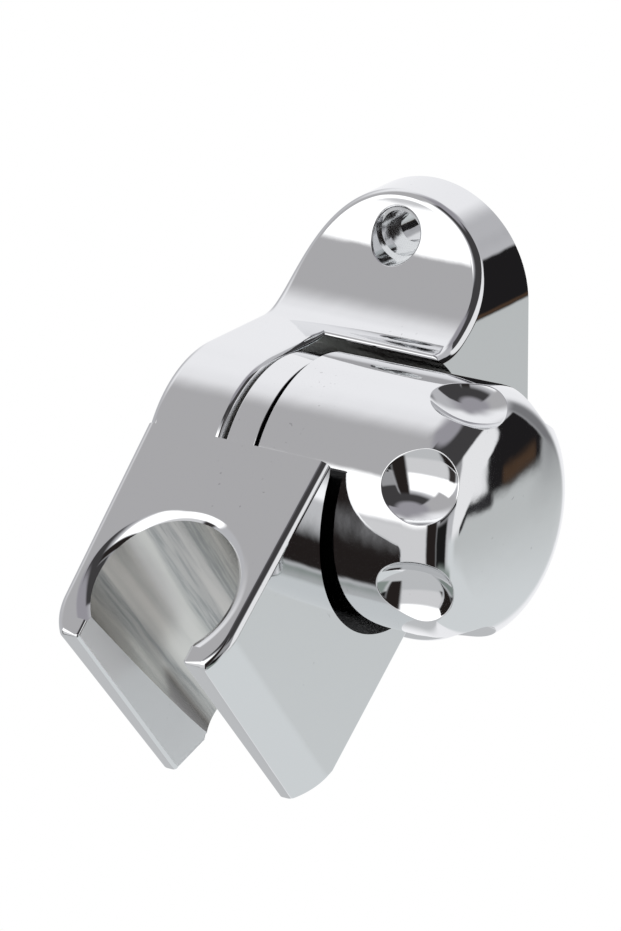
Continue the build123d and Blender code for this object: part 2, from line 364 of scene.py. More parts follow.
# Dark grey finish that paints the shade in the gap between the ear and the hub.
PAINTED_GAP_SHADE = Finish("painted_gap_shade", base=(0.42, 0.41, 0.39), worn=(0.30, 0.30, 0.30),
                    gloss=0.30, haze=0.1, ripple=0.4)
BRASS = Finish("turned_brass", base=(0.80, 0.62, 0.32), worn=(0.62, 0.46, 0.22),
               gloss=0.26, haze=0.12, ripple=0.6, slot=Stock.BRASS)
STEEL = Finish("stamped_steel", base=(0.62, 0.63, 0.65), worn=(0.45, 0.45, 0.46),
               gloss=0.30, haze=0.15, ripple=0.6, slot=Stock.STEEL)
RUBBER = Finish("black_rubber", base=(0.020, 0.020, 0.021), worn=(0.035, 0.035, 0.035),
                gloss=0.60, haze=0.2, ripple=1.0, slot=Stock.RUBBER, metallic=0.0)
NATURAL = Finish("natural_plastic", base=(0.80, 0.79, 0.76), worn=(0.72, 0.71, 0.68),
                 gloss=0.45, haze=0.15, ripple=0.6, slot=Stock.PLASTIC, metallic=0.0)


@dataclass(frozen=True)
class Panel:
    """A soft-edged rectangle of the room, by its directions in degrees.

    Azimuth counts from the front (-Y) towards the knob (+X), and elevation upwards.
    """

    name: str
    azimuth: tuple[float, float]
    elevation: tuple[float, float]
    soft: float
    colour: Colour


def panel_mask() -> bpy.types.NodeTree:
    """Build the group that tells how far a direction lies within a panel.

    The mask is the product of two smooth steps, one for each angle, of how much nearer
    than half the panel's size the direction is to its middle. Azimuths wrap round.

    Returns:
        The node group, with inputs Azimuth, Elevation, Middle Azimuth, Middle Elevation,
        Half Width, Half Height and Soft, and the output Mask.
    """
    tree = bpy.data.node_groups.new("room_panel", "ShaderNodeTree")
    for label in ("Azimuth", "Elevation", "Middle Azimuth", "Middle Elevation", "Half Width",
                  "Half Height", "Soft"):
        tree.interface.new_socket(label, in_out="INPUT", socket_type="NodeSocketFloat")
    tree.interface.new_socket("Mask", in_out="OUTPUT", socket_type="NodeSocketFloat")
    n = Nodes(tree)
    given = tree.nodes.new("NodeGroupInput").outputs
    shares = []
    for value, size in (("Azimuth", "Half Width"), ("Elevation", "Half Height")):
        away = n.math("WRAP", n.math("SUBTRACT", given[value], given["Middle " + value]), 180.0, -180.0)
        within = n.math("SUBTRACT", given[size], n.math("ABSOLUTE", away))
        shares.append(n.ramp(n.math("DIVIDE", within, given["Soft"]), -0.5, 0.5))
    n.join(n.math("MULTIPLY", *shares), tree.nodes.new("NodeGroupOutput").inputs["Mask"])
    return tree


@dataclass
class Studio:
    """Pale floor, soft light from a pale room, and the camera of the photograph."""

    floor_drop: float = 110.0
    floor_size: float = 6000.0
    lens: float = 329.0
    distance: float = 1302.7
    aim: Place = (2.19, -38.3, 0.0)
    back: Place = (0.5211, -0.7819, 0.3422)
    side_shift: float = -0.046
    rise_shift: float = 1.565
    key_place: Place = (-700.0, -900.0, 500.0)
    key_size: float = 700.0
    key_power: float = 4.0
    floor_colour: Colour = (0.86, 0.87, 0.88)
    ground: Colour = (0.56, 0.57, 0.58)
    middle: Colour = (0.52, 0.52, 0.54)
    ceiling: Colour = (0.34, 0.33, 0.36)
    panels: Sequence[Panel] = (
        Panel("pale wall beside the knob", (84.0, 200.0), (-90.0, -14.0), 6.0, (0.70, 0.73, 0.74)),
        Panel("grey foot of that wall", (100.0, 180.0), (-24.0, -8.0), 12.0, (0.55, 0.57, 0.57)),
        Panel("white wall behind", (-186.0, -132.0), (-90.0, 62.0), 20.0, (0.95, 0.95, 0.97)),
        Panel("grey upper room on the left", (-106.0, -26.0), (22.0, 66.0), 12.0, (0.46, 0.455, 0.465)),
        Panel("white sky on the far left", (-150.0, -86.0), (28.0, 66.0), 32.0, (0.96, 0.96, 0.98)),
        Panel("white screen on the left", (-54.0, -26.0), (0.0, 30.5), 4.0, (1.35, 1.35, 1.35)),
        Panel("white screen in front", (-28.0, 30.0), (0.0, 44.0), 8.0, (1.35, 1.35, 1.35)),
        Panel("pale table in front", (-36.0, 30.0), (-32.0, 0.0), 8.0, (0.70, 0.70, 0.71)),
        Panel("dark flag on the left", (-50.0, -38.0), (-34.0, 2.0), 5.0, (0.04, 0.035, 0.035)),
        Panel("dark flag in front of the knob", (31.0, 54.0), (-58.0, 58.0), 6.0, (0.020, 0.016, 0.015)),
        Panel("low dark flag before the knob", (54.0, 78.0), (-32.0, 0.0), 6.0, (0.012, 0.012, 0.012)),
        Panel("grey screen beside the knob", (54.0, 92.0), (0.0, 34.0), 8.0, (0.34, 0.34, 0.35)),
        Panel("grey-green floor patch", (60.0, 90.0), (-60.0, -30.0), 8.0, (0.26, 0.30, 0.28)),
        Panel("dark ceiling over the front", (-24.0, 130.0), (52.0, 72.0), 10.0, (0.055, 0.053, 0.055)),
        Panel("dark ceiling over the knob", (56.0, 130.0), (33.0, 60.0), 6.0, (0.055, 0.053, 0.055)),
        Panel("white screen behind the knob", (92.0, 134.0), (-15.0, 34.0), 5.0, (0.90, 0.90, 0.91)),
        Panel("grey screen at the wall", (154.0, 172.0), (-16.0, 24.0), 12.0, (0.20, 0.20, 0.21)),
        Panel("dark skirting", (112.0, 136.5), (-16.4, -14.2), 1.4, (0.030, 0.030, 0.032)),
        Panel("dark flag at the wall", (134.5, 155.0), (-15.0, 18.0), 2.4, (0.014, 0.013, 0.014)),
        Panel("brown edge of that flag", (140.0, 152.0), (-14.2, -12.2), 1.8, (0.070, 0.042, 0.026)),
        Panel("dark table edge", (60.0, 93.0), (0.0, 3.4), 2.0, (0.02, 0.02, 0.02)),
    )

    def world(self) -> None:
        """Light the object from a pale room with bright and dark panels.

        The room's own tone goes from the ground to the ceiling with the elevation, and
        each panel is laid over it by its mask. The camera sees plain white, shiny
        surfaces see the room.
        """
        scene = bpy.context.scene
        scene.world = bpy.data.worlds.new("room")
        scene.world.use_nodes = True
        tree = scene.world.node_tree
        tree.nodes.clear()
        n = Nodes(tree)
        parts = n.add("SeparateXYZ")
        n.join(n.add("TexCoord").outputs["Generated"], parts.inputs[0])
        x, y, z = parts.outputs
        azimuth = n.math("DEGREES", n.math("ARCTAN2", x, n.math("MULTIPLY", y, -1.0)))
        elevation = n.math("DEGREES", n.math("ARCSINE", z))
        colour = n.blend(n.ramp(elevation, -30.0, 10.0), self.ground, self.middle)
        colour = n.blend(n.ramp(elevation, 45.0, 75.0), colour, self.ceiling)
        group = panel_mask()
        for panel in self.panels:
            mask = n.add("Group", node_tree=group, label=panel.name)
            n.join(azimuth, mask.inputs["Azimuth"])
            n.join(elevation, mask.inputs["Elevation"])
            for label, (low, high) in (("Azimuth", panel.azimuth), ("Elevation", panel.elevation)):
                mask.inputs["Middle " + label].default_value = (low + high) / 2
            mask.inputs["Half Width"].default_value = (panel.azimuth[1] - panel.azimuth[0]) / 2
            mask.inputs["Half Height"].default_value = (panel.elevation[1] - panel.elevation[0]) / 2
            mask.inputs["Soft"].default_value = panel.soft
            colour = n.blend(mask.outputs["Mask"], colour, panel.colour)
        path = n.add("LightPath")
        shown = n.blend(path.outputs["Is Camera Ray"], colour, (1.0, 1.0, 1.0))
        sees = n.math("MAXIMUM", path.outputs["Is Camera Ray"],
                      n.math("MAXIMUM", path.outputs["Is Glossy Ray"], path.outputs["Is Transmission Ray"]))
        final = n.blend(sees, colour, shown)
        light = n.add("Background")
        n.join(final, light.inputs["Color"])
        n.join(light.outputs[0], n.add("OutputWorld").inputs["Surface"])

    def floor(self, low: float) -> None:
        """Lay the pale floor under the object.

        Args:
            low: The object's lowest height, in metres.
        """
        half = self.floor_size * MM / 2
        height = low - self.floor_drop * MM
        mesh = bpy.data.meshes.new("floor")
        mesh.from_pydata([(-half, -half, height), (half, -half, height), (half, half, height),
                          (-half, half, height)], [], [(0, 1, 2, 3)])
        floor = bpy.data.objects.new("floor", mesh)
        bpy.context.scene.collection.objects.link(floor)
        made = bpy.data.materials.new("pale_floor")
        made.use_nodes = True
        tree = made.node_tree
        n = Nodes(tree)
        shader = tree.nodes["Principled BSDF"]
        shader.inputs["Base Color"].default_value = (*self.floor_colour, 1.0)
        shader.inputs["Roughness"].default_value = 0.9
        shader.inputs["Specular IOR Level"].default_value = 0.0
        white = n.add("Emission")
        white.inputs["Color"].default_value = (1.0, 1.0, 1.0, 1.0)
        path = n.add("LightPath")
        mix = n.add("MixShader")
        n.join(path.outputs["Is Camera Ray"], mix.inputs[0])
        n.join(shader.outputs[0], mix.inputs[1])
        n.join(white.outputs[0], mix.inputs[2])
        n.join(mix.outputs[0], tree.nodes["Material Output"].inputs["Surface"])
        mesh.materials.append(made)
        floor.visible_glossy = False
        floor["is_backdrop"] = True

    def lamp(self) -> None:
        """Hang the soft square key lamp, which faces the barrel and isn't mirrored in it."""
        data = bpy.data.lights.new("key", "AREA")
        data.size = self.key_size * MM
        data.energy = self.key_power
        lamp = bpy.data.objects.new("key", data)
        lamp.location = Vector(self.key_place) * MM
        aim = Vector(self.aim) * MM - lamp.location
        lamp.rotation_mode = "QUATERNION"
        lamp.rotation_quaternion = aim.to_track_quat("-Z", "Y")
        lamp.visible_glossy = False
        bpy.context.scene.collection.objects.link(lamp)

    def camera(self) -> None:
        """Place the camera at the photograph's view, with its long lens."""
        back = Vector(self.back).normalized()
        right = Vector((0.0, 0.0, 1.0)).cross(back).normalized()
        up = back.cross(right)
        data = bpy.data.cameras.new("camera")
        data.lens = self.lens
        data.sensor_width = 36.0
        data.clip_end = 20.0
        camera = bpy.data.objects.new("camera", data)
        place = (Vector(self.aim) + back * self.distance + right * self.side_shift + up * self.rise_shift) * MM
        turn = Matrix((right, up, back)).transposed().to_4x4()
        camera.matrix_world = Matrix.Translation(place) @ turn
        bpy.context.scene.collection.objects.link(camera)
        bpy.context.scene.camera = camera

    def build(self, low: float) -> None:
        """Set up the whole studio.

        Args:
            low: The object's lowest height, in metres.
        """
        bpy.context.scene.view_settings.view_transform = "Standard"
        self.world()
        self.floor(low)
        self.lamp()
        self.camera()
        log.info("studio: floor, room, key lamp and camera")


class Track:
    """A plane curve of straight runs and arcs, kept as a table over its length.

    It is walked from a start point: a run goes straight on, and a bend follows an arc
    that is tangent to what came before. Its normal points to the left of its heading.
    """

    STEP = 0.02

    def __init__(self, start: Sequence[float], heading: float) -> None:
        """Start the curve.

        Args:
            start: Its first point.
            heading: Its first direction in degrees, counted from the first axis.
        """
        self.heading = math.radians(heading)
        self.points = [np.array([start], float)]
        self.headings = [np.array([self.heading])]
        self.lengths = [0.0]

    @property
    def length(self) -> float:
        """Length walked so far."""
        return self.lengths[-1]

    def run(self, length: float) -> "Track":
        """Go straight on by a length."""
        return self.bend(math.inf, 0.0, length)

    def bend(self, radius: float, degrees: float, length: float = 0.0) -> "Track":
        """Follow an arc, to the left if the angle is positive.

        Each point is the start of the arc plus the integral of the heading, which is
        the chord of the angle turned so far.

        Args:
            radius: The arc's radius, infinite for a straight run.
            degrees: The angle turned.
            length: The length of a straight run.

        Returns:
            The track itself.
        """
        turn = math.radians(degrees)
        reach = length if math.isinf(radius) else abs(turn) * radius
        steps = max(2, int(reach / self.STEP)) + 1
        share = np.linspace(0, 1, steps)[1:]
        angle = self.heading + turn * share
        middle = self.heading + turn * share / 2
        chord = reach * share * np.sinc(turn * share / 2 / np.pi)
        self.points.append(self.points[-1][-1] + chord[:, None] * ray(middle))
        self.headings.append(angle)
        self.lengths.append(self.length + reach)
        self.heading += turn
        return self

    def at(self, along: Array) -> tuple[Array, Array]:
        """Look up points and left normals.

        Args:
            along: Lengths from the start, in any shape.

        Returns:
            The points and the unit normals, each with one more axis of two values.
        """
        points = np.concatenate(self.points)
        headings = np.concatenate(self.headings)
        walked = np.concatenate([[0.0], np.cumsum(np.linalg.norm(np.diff(points, axis=0), axis=1))])
        walked *= self.length / walked[-1]
        place = np.stack([np.interp(along, walked, points[:, i]) for i in (0, 1)], -1)
        heading = np.interp(along, walked, headings)
        return place, np.stack([-np.sin(heading), np.cos(heading)], -1)


def spread(*stops: tuple[float, float, int]) -> Array:
    """Join evenly spaced stretches of positions into one rising list.

    Args:
        stops: For each stretch its first value, last value and number of steps.

    Returns:
        The positions, each once.
    """
    return np.unique(np.round(np.concatenate([np.linspace(a, b, n + 1) for a, b, n in stops]), 9))


def unit(vectors: Array) -> Array:
    """Scale vectors to length one, along the last axis."""
    return vectors / np.maximum(np.linalg.norm(vectors, axis=-1, keepdims=True), 1e-12)


def roll(centre: Array, first: Array, last: Array, radius: Array | float, share: Array) -> tuple[Array, Array]:
    """Sweep a rolling ball's arc along a line of centres.

    Each direction turns evenly from the first to the last, and the point is the centre
    plus the radius times that direction.

    Args:
        centre: Ball centres, one for each row.
        first: Unit directions at the arc's start.
        last: Unit directions at its end.
        radius: The ball's radius, one for all or one for each row.
        share: Shares of the turn, one for each column.

    Returns:
        The points and normals, with the shape rows, columns, 3.
    """
    angle = np.arccos(np.clip((first * last).sum(-1), -1, 1))[:, None]
    below = np.maximum(np.sin(angle), 1e-9)
    ways = unit((np.sin((1 - share) * angle) / below)[..., None] * first[:, None]
                + (np.sin(share * angle) / below)[..., None] * last[:, None])
    return centre[:, None] + np.reshape(radius, (-1, 1, 1)) * ways, ways


def stretch(first: Array, last: Array, share: Array) -> Array:
    """Fill in evenly between two lines of points.

    Args:
        first: Points of the first line.
        last: Points of the last line.
        share: Shares of the way, one for each column.

    Returns:
        The points, with the shape rows, columns, 3.
    """
    return first[:, None] * (1 - share)[:, None] + last[:, None] * share[:, None]


def ray(angle: Array | float) -> Array:
    """Unit pairs that point at an angle from the first axis."""
    return np.stack([np.cos(angle), np.sin(angle)], -1)


def turned_about(flat: Array, around: Array, axis_y: float) -> Array:
    """Turn pairs of x and radius about the barrel.

    Each point keeps its x, and its radius is laid off at each angle from the front,
    counted upwards.

    Args:
        flat: The pairs.
        around: The angles.
        axis_y: The barrel's y, or zero for directions.

    Returns:
        The points, with the shape pairs, angles, 3.
    """
    radius = np.repeat(flat[:, 1:], len(around), 1)
    return np.stack([np.repeat(flat[:, :1], len(around), 1), axis_y - radius * np.cos(around),
                     radius * np.sin(around)], -1)


class Skin:
    """Grids and flat sheets of points, in millimetres, joined into one mesh."""

    def __init__(self, name: str) -> None:
        """Start an empty skin.

        Args:
            name: The name of the piece.
        """
        self.name = name
        self.points: list[Array] = []
        self.corners: list[Array] = []
        self.normals: list[Array] = []
        self.sizes: list[Array] = []
        self.zones: list[Array] = []
        self.count = 0

    def grid(self, points: Array, normals: Array | Sequence[float], zone: Zone = Zone.OUTSIDE) -> None:
        """Add a grid, with a four-sided face between each four neighbours.

        Args:
            points: Its points, with the shape rows, columns, 3.
            normals: Its outward normals, one for each point or one for all.
            zone: The zone of its faces.
        """
        rows, columns = points.shape[:2]
        index = np.arange(rows * columns).reshape(rows, columns)
        quads = np.stack([index[:-1, :-1], index[1:, :-1], index[1:, 1:], index[:-1, 1:]], -1).reshape(-1, 4)
        flat, ways = points.reshape(-1, 3), np.broadcast_to(normals, points.shape).reshape(-1, 3)
        across = np.cross(flat[quads[:, 2]] - flat[quads[:, 0]], flat[quads[:, 3]] - flat[quads[:, 1]])
        inward = (across * ways[quads].sum(1)).sum(-1) < 0
        quads[inward] = quads[inward][:, ::-1]
        self.store(flat, quads.ravel(), ways[quads.ravel()], np.full(len(quads), 4), zone)

    def sheet(self, outline: Array, normal: Sequence[float], zone: Zone = Zone.OUTSIDE) -> None:
        """Add one flat face inside an outline.

        Args:
            outline: Its points in order.
            normal: Its outward normal.
            zone: The zone of the face.
        """
        away = outline - outline[0]
        turn = np.cross(away[1:-1], away[2:]).sum(0) @ np.array(normal)
        index = np.arange(len(outline))[::1 if turn > 0 else -1]
        self.store(outline, index, np.broadcast_to(normal, outline.shape), np.array([len(outline)]), zone)

    def store(self, points: Array, corners: Array, normals: Array, sizes: Array, zone: int) -> None:
        """Keep one grid's or sheet's points and faces.

        Args:
            points: The points.
            corners: Point numbers, face after face.
            normals: A normal for each corner.
            sizes: The number of corners of each face.
            zone: The zone of the faces.
        """
        self.points.append(points)
        self.corners.append(corners + self.count)
        self.normals.append(normals)
        self.sizes.append(sizes)
        self.zones.append(np.full(len(sizes), int(zone)))
        self.count += len(points)

    def mirrored(self, other: "Skin", axis: Axis) -> None:
        """Add another skin's faces, mirrored along one axis.

        Args:
            other: The skin to mirror.
            axis: The axis whose sign changes.
        """
        flip = np.where(np.arange(3) == axis, -1.0, 1.0)
        corners, sizes = np.concatenate(other.corners), np.concatenate(other.sizes)
        ends = np.cumsum(sizes)
        order = np.repeat(2 * ends - sizes - 1, sizes) - np.arange(len(corners))
        for zone in np.unique(np.concatenate(other.zones)):
            chosen = np.concatenate(other.zones) == zone
            wide = np.repeat(chosen, sizes)
            self.store(np.concatenate(other.points) * flip, corners[order][wide],
                       (np.concatenate(other.normals) * flip)[order][wide], sizes[chosen], zone)

    def place(self, rows: Array, origin: Sequence[float]) -> None:
        """Turn and move the whole skin.

        Args:
            rows: A rotation, with the images of the three axes as its rows.
            origin: Where the old origin goes.
        """
        self.points = [points @ rows + origin for points in self.points]
        self.normals = [normals @ rows for normals in self.normals]

    def absorb(self, other: "Skin") -> None:
        """Add another skin's faces as they are.

        Args:
            other: The skin to add.
        """
        self.points += other.points
        self.corners += [corners + self.count for corners in other.corners]
        self.normals += other.normals
        self.sizes += other.sizes
        self.zones += other.zones
        self.count += other.count

    def mesh(self) -> bpy.types.Mesh:
        """Put the points and faces into a mesh, with the exact normals kept at its corners.

        Returns:
            The new mesh, whose grids aren't joined yet.
        """
        points, corners = np.concatenate(self.points) * MM, np.concatenate(self.corners)
        sizes = np.concatenate(self.sizes)
        mesh = bpy.data.meshes.new(self.name)
        mesh.vertices.add(len(points))
        mesh.vertices.foreach_set("co", points.astype(np.float32).ravel())
        mesh.loops.add(len(corners))
        mesh.loops.foreach_set("vertex_index", corners.astype(np.int32))
        mesh.polygons.add(len(sizes))
        mesh.polygons.foreach_set("loop_start", (np.cumsum(sizes) - sizes).astype(np.int32))
        mesh.polygons.foreach_set("material_index", np.concatenate(self.zones).astype(np.int32))
        mesh.polygons.foreach_set("use_smooth", np.ones(len(sizes), bool))
        given = mesh.attributes.new("given_normal", "FLOAT_VECTOR", "CORNER")
        given.data.foreach_set("vector", np.concatenate(self.normals).astype(np.float32).ravel())
        mesh.update(calc_edges=True)
        return mesh

    def build(self, finishes: Sequence[Finish], body: Body, node: str, merge: float = 0.003) -> None:
        """Join the grids at their seams and make the object, with its own exact normals.

        Args:
            finishes: The finish of each zone.
            body: The body that the piece moves with.
            node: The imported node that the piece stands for.
            merge: Points nearer than this many millimetres become one.
        """
        mesh = self.mesh()
        for finish in finishes:
            mesh.materials.append(finish.material())
        work = bmesh.new()
        work.from_mesh(mesh)
        bmesh.ops.remove_doubles(work, verts=work.verts, dist=merge * MM)
        loose = [vertex for vertex in work.verts if not vertex.link_faces]
        bmesh.ops.delete(work, geom=loose, context="VERTS")
        open_edges = sum(1 for edge in work.edges if not edge.is_manifold)
        work.to_mesh(mesh)
        work.free()
        ways = np.empty(3 * len(mesh.loops), np.float32)
        mesh.attributes["given_normal"].data.foreach_get("vector", ways)
        mesh.attributes.remove(mesh.attributes["given_normal"])
        mesh.normals_split_custom_set(ways.reshape(-1, 3))
        piece = bpy.data.objects.new(self.name, mesh)
        bpy.context.scene.collection.objects.link(piece)
        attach(piece, body.value)
        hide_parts(node)
        log.info("%s: %d points, %d faces, %d open edges", self.name, len(mesh.vertices),
                 len(mesh.polygons), open_edges)


@dataclass
class ClampKnob:
    """The knob: a turned form with a soft shoulder, and dimples cut by spheres."""

    axis_y: float = -38.3
    left: float = 3.8
    end: float = 39.9
    rim_radius: float = 19.65
    radius: float = 20.05
    inner_radius: float = 16.65
    hollow_end: float = 28.0
    hollow_draft: float = 0.6
    hollow_round: float = 7.3
    boss_radius: float = 8.5
    boss_left: float = 4.5
    bore_radius: float = 3.1
    bore_end: float = 24.6
    rim_round: float = 0.15
    shoulder: float = 7.3
    crown: float = 2.4
    dimples: int = 7
    first_dimple: float = 30.0
    sphere: float = 11.0
    sphere_x: float = 34.984
    sphere_r: float = 26.929
    dimple_soft: float = 0.16
    squeeze: float = 1.25
    tile_start: float = 21.5
    pole: float = 0.4
    columns: int = 28
    rows: int = 36

    def __post_init__(self) -> None:
        """Walk the outside profile, as x and radius, from the rim to the middle of the end."""
        slope = math.atan((self.radius - self.rim_radius) / (self.end - self.crown - self.left))
        arc = (self.radius ** 2 + self.crown ** 2) / (2 * self.crown)
        middle = self.end - arc
        side = np.array([math.cos(slope), math.sin(slope)])
        start = np.array([self.left, self.rim_radius])
        base = start + self.shoulder * np.array([side[1], -side[0]]) - np.array([middle, 0.0])
        reach = arc - self.shoulder
        cross = base @ side
        centre = base + side * (-cross + math.sqrt(cross ** 2 - base @ base + reach ** 2))
        crown_turn = math.degrees(math.atan2(centre[1], centre[0]))
        flank = (centre + np.array([middle, 0.0]) - start) @ side
        corner = self.rim_round * math.tan((math.pi / 2 - slope) / 2)
        self.profile = Track((self.left, self.inner_radius), 90.0)
        self.profile.run(self.rim_radius - self.inner_radius - corner)
        self.profile.bend(self.rim_round, -90 + math.degrees(slope))
        self.profile.run(flank - corner)
        self.profile.bend(self.shoulder, -(90 + math.degrees(slope) - crown_turn))
        self.profile.bend(arc, -crown_turn)

    def surface(self, along: Array, angle: Array) -> tuple[Array, Array]:
        """Turn the profile about the barrel's axis.

        The point is x from the profile, and the radius laid off at the angle from the
        front, counted upwards. The normal turns with it.

        Args:
            along: Lengths along the profile.
            angle: Angles round the axis, in radians.

        Returns:
            The points and outward normals.
        """
        flat, normal = self.profile.at(along)
        turned = []
        for pair, offset in ((flat, self.axis_y), (normal, 0.0)):
            turned.append(np.stack([pair[..., 0], offset - pair[..., 1] * np.cos(angle),
                                    pair[..., 1] * np.sin(angle)], -1))
        return turned[0], turned[1]

    def depth(self, along: Array, angle: Array, place: float) -> tuple[Array, Array, Array]:
        """Measure how far in a dimple's floor lies, along the inward normal.

        The floor is a sphere squeezed round the knob. The depth is the far root of the
        distance at which the normal's line meets it, and negative outside the dimple.

        Args:
            along: Lengths along the profile.
            angle: Angles round the axis.
            place: The dimple's own angle.

        Returns:
            The depths, and the surface's points and normals there.
        """
        points, normals = self.surface(along, angle)
        centre = np.array([self.sphere_x, self.axis_y - self.sphere_r * math.cos(place),
                           self.sphere_r * math.sin(place)])
        round_way = np.array([0.0, math.sin(place), math.cos(place)])
        squeezed = [ways + (self.squeeze - 1) * (ways @ round_way)[..., None] * round_way
                    for ways in (points - centre, normals)]
        square = (squeezed[1] ** 2).sum(-1)
        lean = (squeezed[0] * squeezed[1]).sum(-1)
        inside = lean ** 2 - square * ((squeezed[0] ** 2).sum(-1) - self.sphere ** 2)
        depth = (lean + np.sqrt(np.maximum(inside, 0.0))) / square
        return np.where(inside > 0, depth, -self.sphere), points, normals

    def dent(self, along: Array, angle: Array, place: float) -> Array:
        """Move the surface in by the depth, with a soft rim.

        The depth is joined to zero by the parabola (depth + soft) squared over four soft,
        between minus soft and plus soft.

        Args:
            along: Lengths along the profile.
            angle: Angles round the axis.
            place: The dimple's own angle.

        Returns:
            The dented surface's points.
        """
        depth, points, normals = self.depth(along, angle, place)
        soft = self.dimple_soft
        eased = np.where(depth > soft, depth, np.clip(depth + soft, 0.0, None) ** 2 / (4 * soft))
        return points - eased[..., None] * normals

    def dent_normal(self, along: Array, angle: Array, place: float) -> Array:
        """Work out the dented surface's normals.

        Each is the cross product of the surface's two small central differences.

        Args:
            along: Lengths along the profile.
            angle: Angles round the axis.
            place: The dimple's own angle.

        Returns:
            The outward unit normals.
        """
        step = 1e-3
        down = self.dent(along + step, angle, place) - self.dent(along - step, angle, place)
        turn = step / 15
        over = self.dent(along, angle + turn, place) - self.dent(along, angle - turn, place)
        return unit(np.cross(down, over))

    def tile(self, skin: Skin, start: float, stop: float, place: float) -> None:
        """Cover one dimple's share of the band with rings from its middle.

        Each ring is a share of the way from the dimple's middle to the tile's border,
        taken in length and angle; the rings crowd at the rim, which is found by halving.

        Args:
            skin: The skin to add to.
            start: Length at which the band starts.
            stop: Length at which it ends.
            place: The dimple's angle.
        """
        half = math.pi / self.dimples
        up = np.linspace(start, stop, self.rows + 1)
        round_about = np.linspace(-half, half, self.columns + 1)
        border = np.concatenate([
            np.stack([up, np.full_like(up, -half)], -1)[:-1],
            np.stack([np.full_like(round_about, stop), round_about], -1)[:-1],
            np.stack([up[::-1], np.full_like(up, half)], -1)[:-1],
            np.stack([np.full_like(round_about, start), round_about[::-1]], -1)])
        lengths = np.linspace(start, stop, 400)
        middle = np.array([lengths[np.argmax(self.depth(lengths, np.full(400, place), place)[0])], 0.0])
        way = border - middle
        low, high = np.zeros(len(way)), np.ones(len(way))
        for _ in range(40):
            share = (low + high) / 2
            spot = middle + share[:, None] * way
            inner = self.depth(spot[:, 0], place + spot[:, 1], place)[0] > 0
            low, high = np.where(inner, share, low), np.where(inner, high, share)
        within = spread((0, 0.88, 14), (0.88, 1.0, 9))[:, None] * low
        beyond = low + spread((0.02, 0.16, 7), (0.16, 1.0, 8))[:, None] * (1 - low)
        share = np.concatenate([within, beyond])
        spots = middle + share[..., None] * way
        along, angle = spots[..., 0], place + spots[..., 1]
        skin.grid(self.dent(along, angle, place), self.dent_normal(along, angle, place))

    def build(self) -> None:
        """Make the knob: its outside and the hollow inside."""
        skin = Skin("turned_knob")
        around = np.linspace(-math.pi / self.dimples, 2 * math.pi - math.pi / self.dimples,
                             self.dimples * self.columns + 1) + math.radians(self.first_dimple)
        self.outside(skin, around)
        self.hollow(skin, around)
        # The hollow is darker chrome as painted shade, and the rim's rounding is near black as painted shade.
        skin.build([CHROME, PAINTED_RECESS_SHADE, PAINTED_SHADE_BLACK], Body.KNOB, "clamp_knob")

    def outside(self, skin: Skin, around: Array) -> None:
        """Add the rim, the flank, the end, and the band of dimples between them.

        Args:
            skin: The skin to add to.
            around: Angles round the axis.
        """
        profile, marks = self.profile, self.profile.lengths
        lengths = np.linspace(0, profile.length, 4000)
        start = float(np.interp(self.tile_start, profile.at(lengths)[0][:, 0], lengths))
        stop = marks[-2] + 1.0
        left = spread((0, marks[1], 3), (marks[1], marks[2], 10), (marks[2], marks[2] + 1, 3),
                      (marks[2] + 1, start, 12))
        right = spread((stop, profile.length - self.pole, 22), (profile.length - self.pole, profile.length, 1))
        # The rim's rounding is coloured near black as painted shade.
        for along, zone in ((left[left < marks[1] + 1e-6], Zone.SEAM),
                            (left[left > marks[1] - 1e-6], Zone.OUTSIDE), (right, Zone.OUTSIDE)):
            skin.grid(*self.surface(*np.meshgrid(along, around, indexing="ij")), zone)
        for number in range(self.dimples):
            self.tile(skin, start, stop, math.radians(self.first_dimple + number * 360 / self.dimples))

    def hollow(self, skin: Skin, around: Array) -> None:
        """Add the hollow inside, with its rounded floor, and the bored boss, in the darker recess finish that
        paints shade.

        Args:
            skin: The skin to add to.
            around: Angles round the axis.
        """
        depth = self.hollow_end - self.left
        wall = Track((self.left, self.inner_radius), self.hollow_draft).run(depth)
        wall.bend(self.hollow_round, -90.0 - self.hollow_draft)
        self.turned(skin, wall, spread((0, depth, 6), (depth, wall.length, 12)), around)
        floor_x, floor_r = wall.points[-1][-1]
        for start_x, start_r, heading, length in (
                (floor_x, floor_r, -90.0, floor_r - self.boss_radius),
                (floor_x, self.boss_radius, 180.0, floor_x - self.boss_left),
                (self.boss_left, self.boss_radius, -90.0, self.boss_radius - self.bore_radius),
                (self.boss_left, self.bore_radius, 0.0, self.bore_end - self.boss_left),
                (self.bore_end, self.bore_radius, -90.0, self.bore_radius)):
            run = Track((start_x, start_r), heading).run(length)
            self.turned(skin, run, np.array([0.0, length]), around)

    def turned(self, skin: Skin, track: Track, along: Array, around: Array) -> None:
        """Turn a line of x and radius about the axis, facing the hollow, and add it.

        Args:
            skin: The skin to add to.
            track: The line, walked with the hollow on its right.
            along: Lengths along it.
            around: Angles round the axis.
        """
        flat, normal = track.at(along)
        skin.grid(turned_about(flat, around, self.axis_y), turned_about(-normal, around, 0.0), Zone.HOLLOW)


def solid(x: Array | float, flat: Array) -> Array:
    """Put an x before pairs of y and z.

    Args:
        x: The first coordinates, one for each pair or one for all.
        flat: Pairs of y and z.

    Returns:
        The points.
    """
    return np.concatenate([np.broadcast_to(np.asarray(x, float)[..., None], flat.shape[:-1] + (1,)), flat], -1)


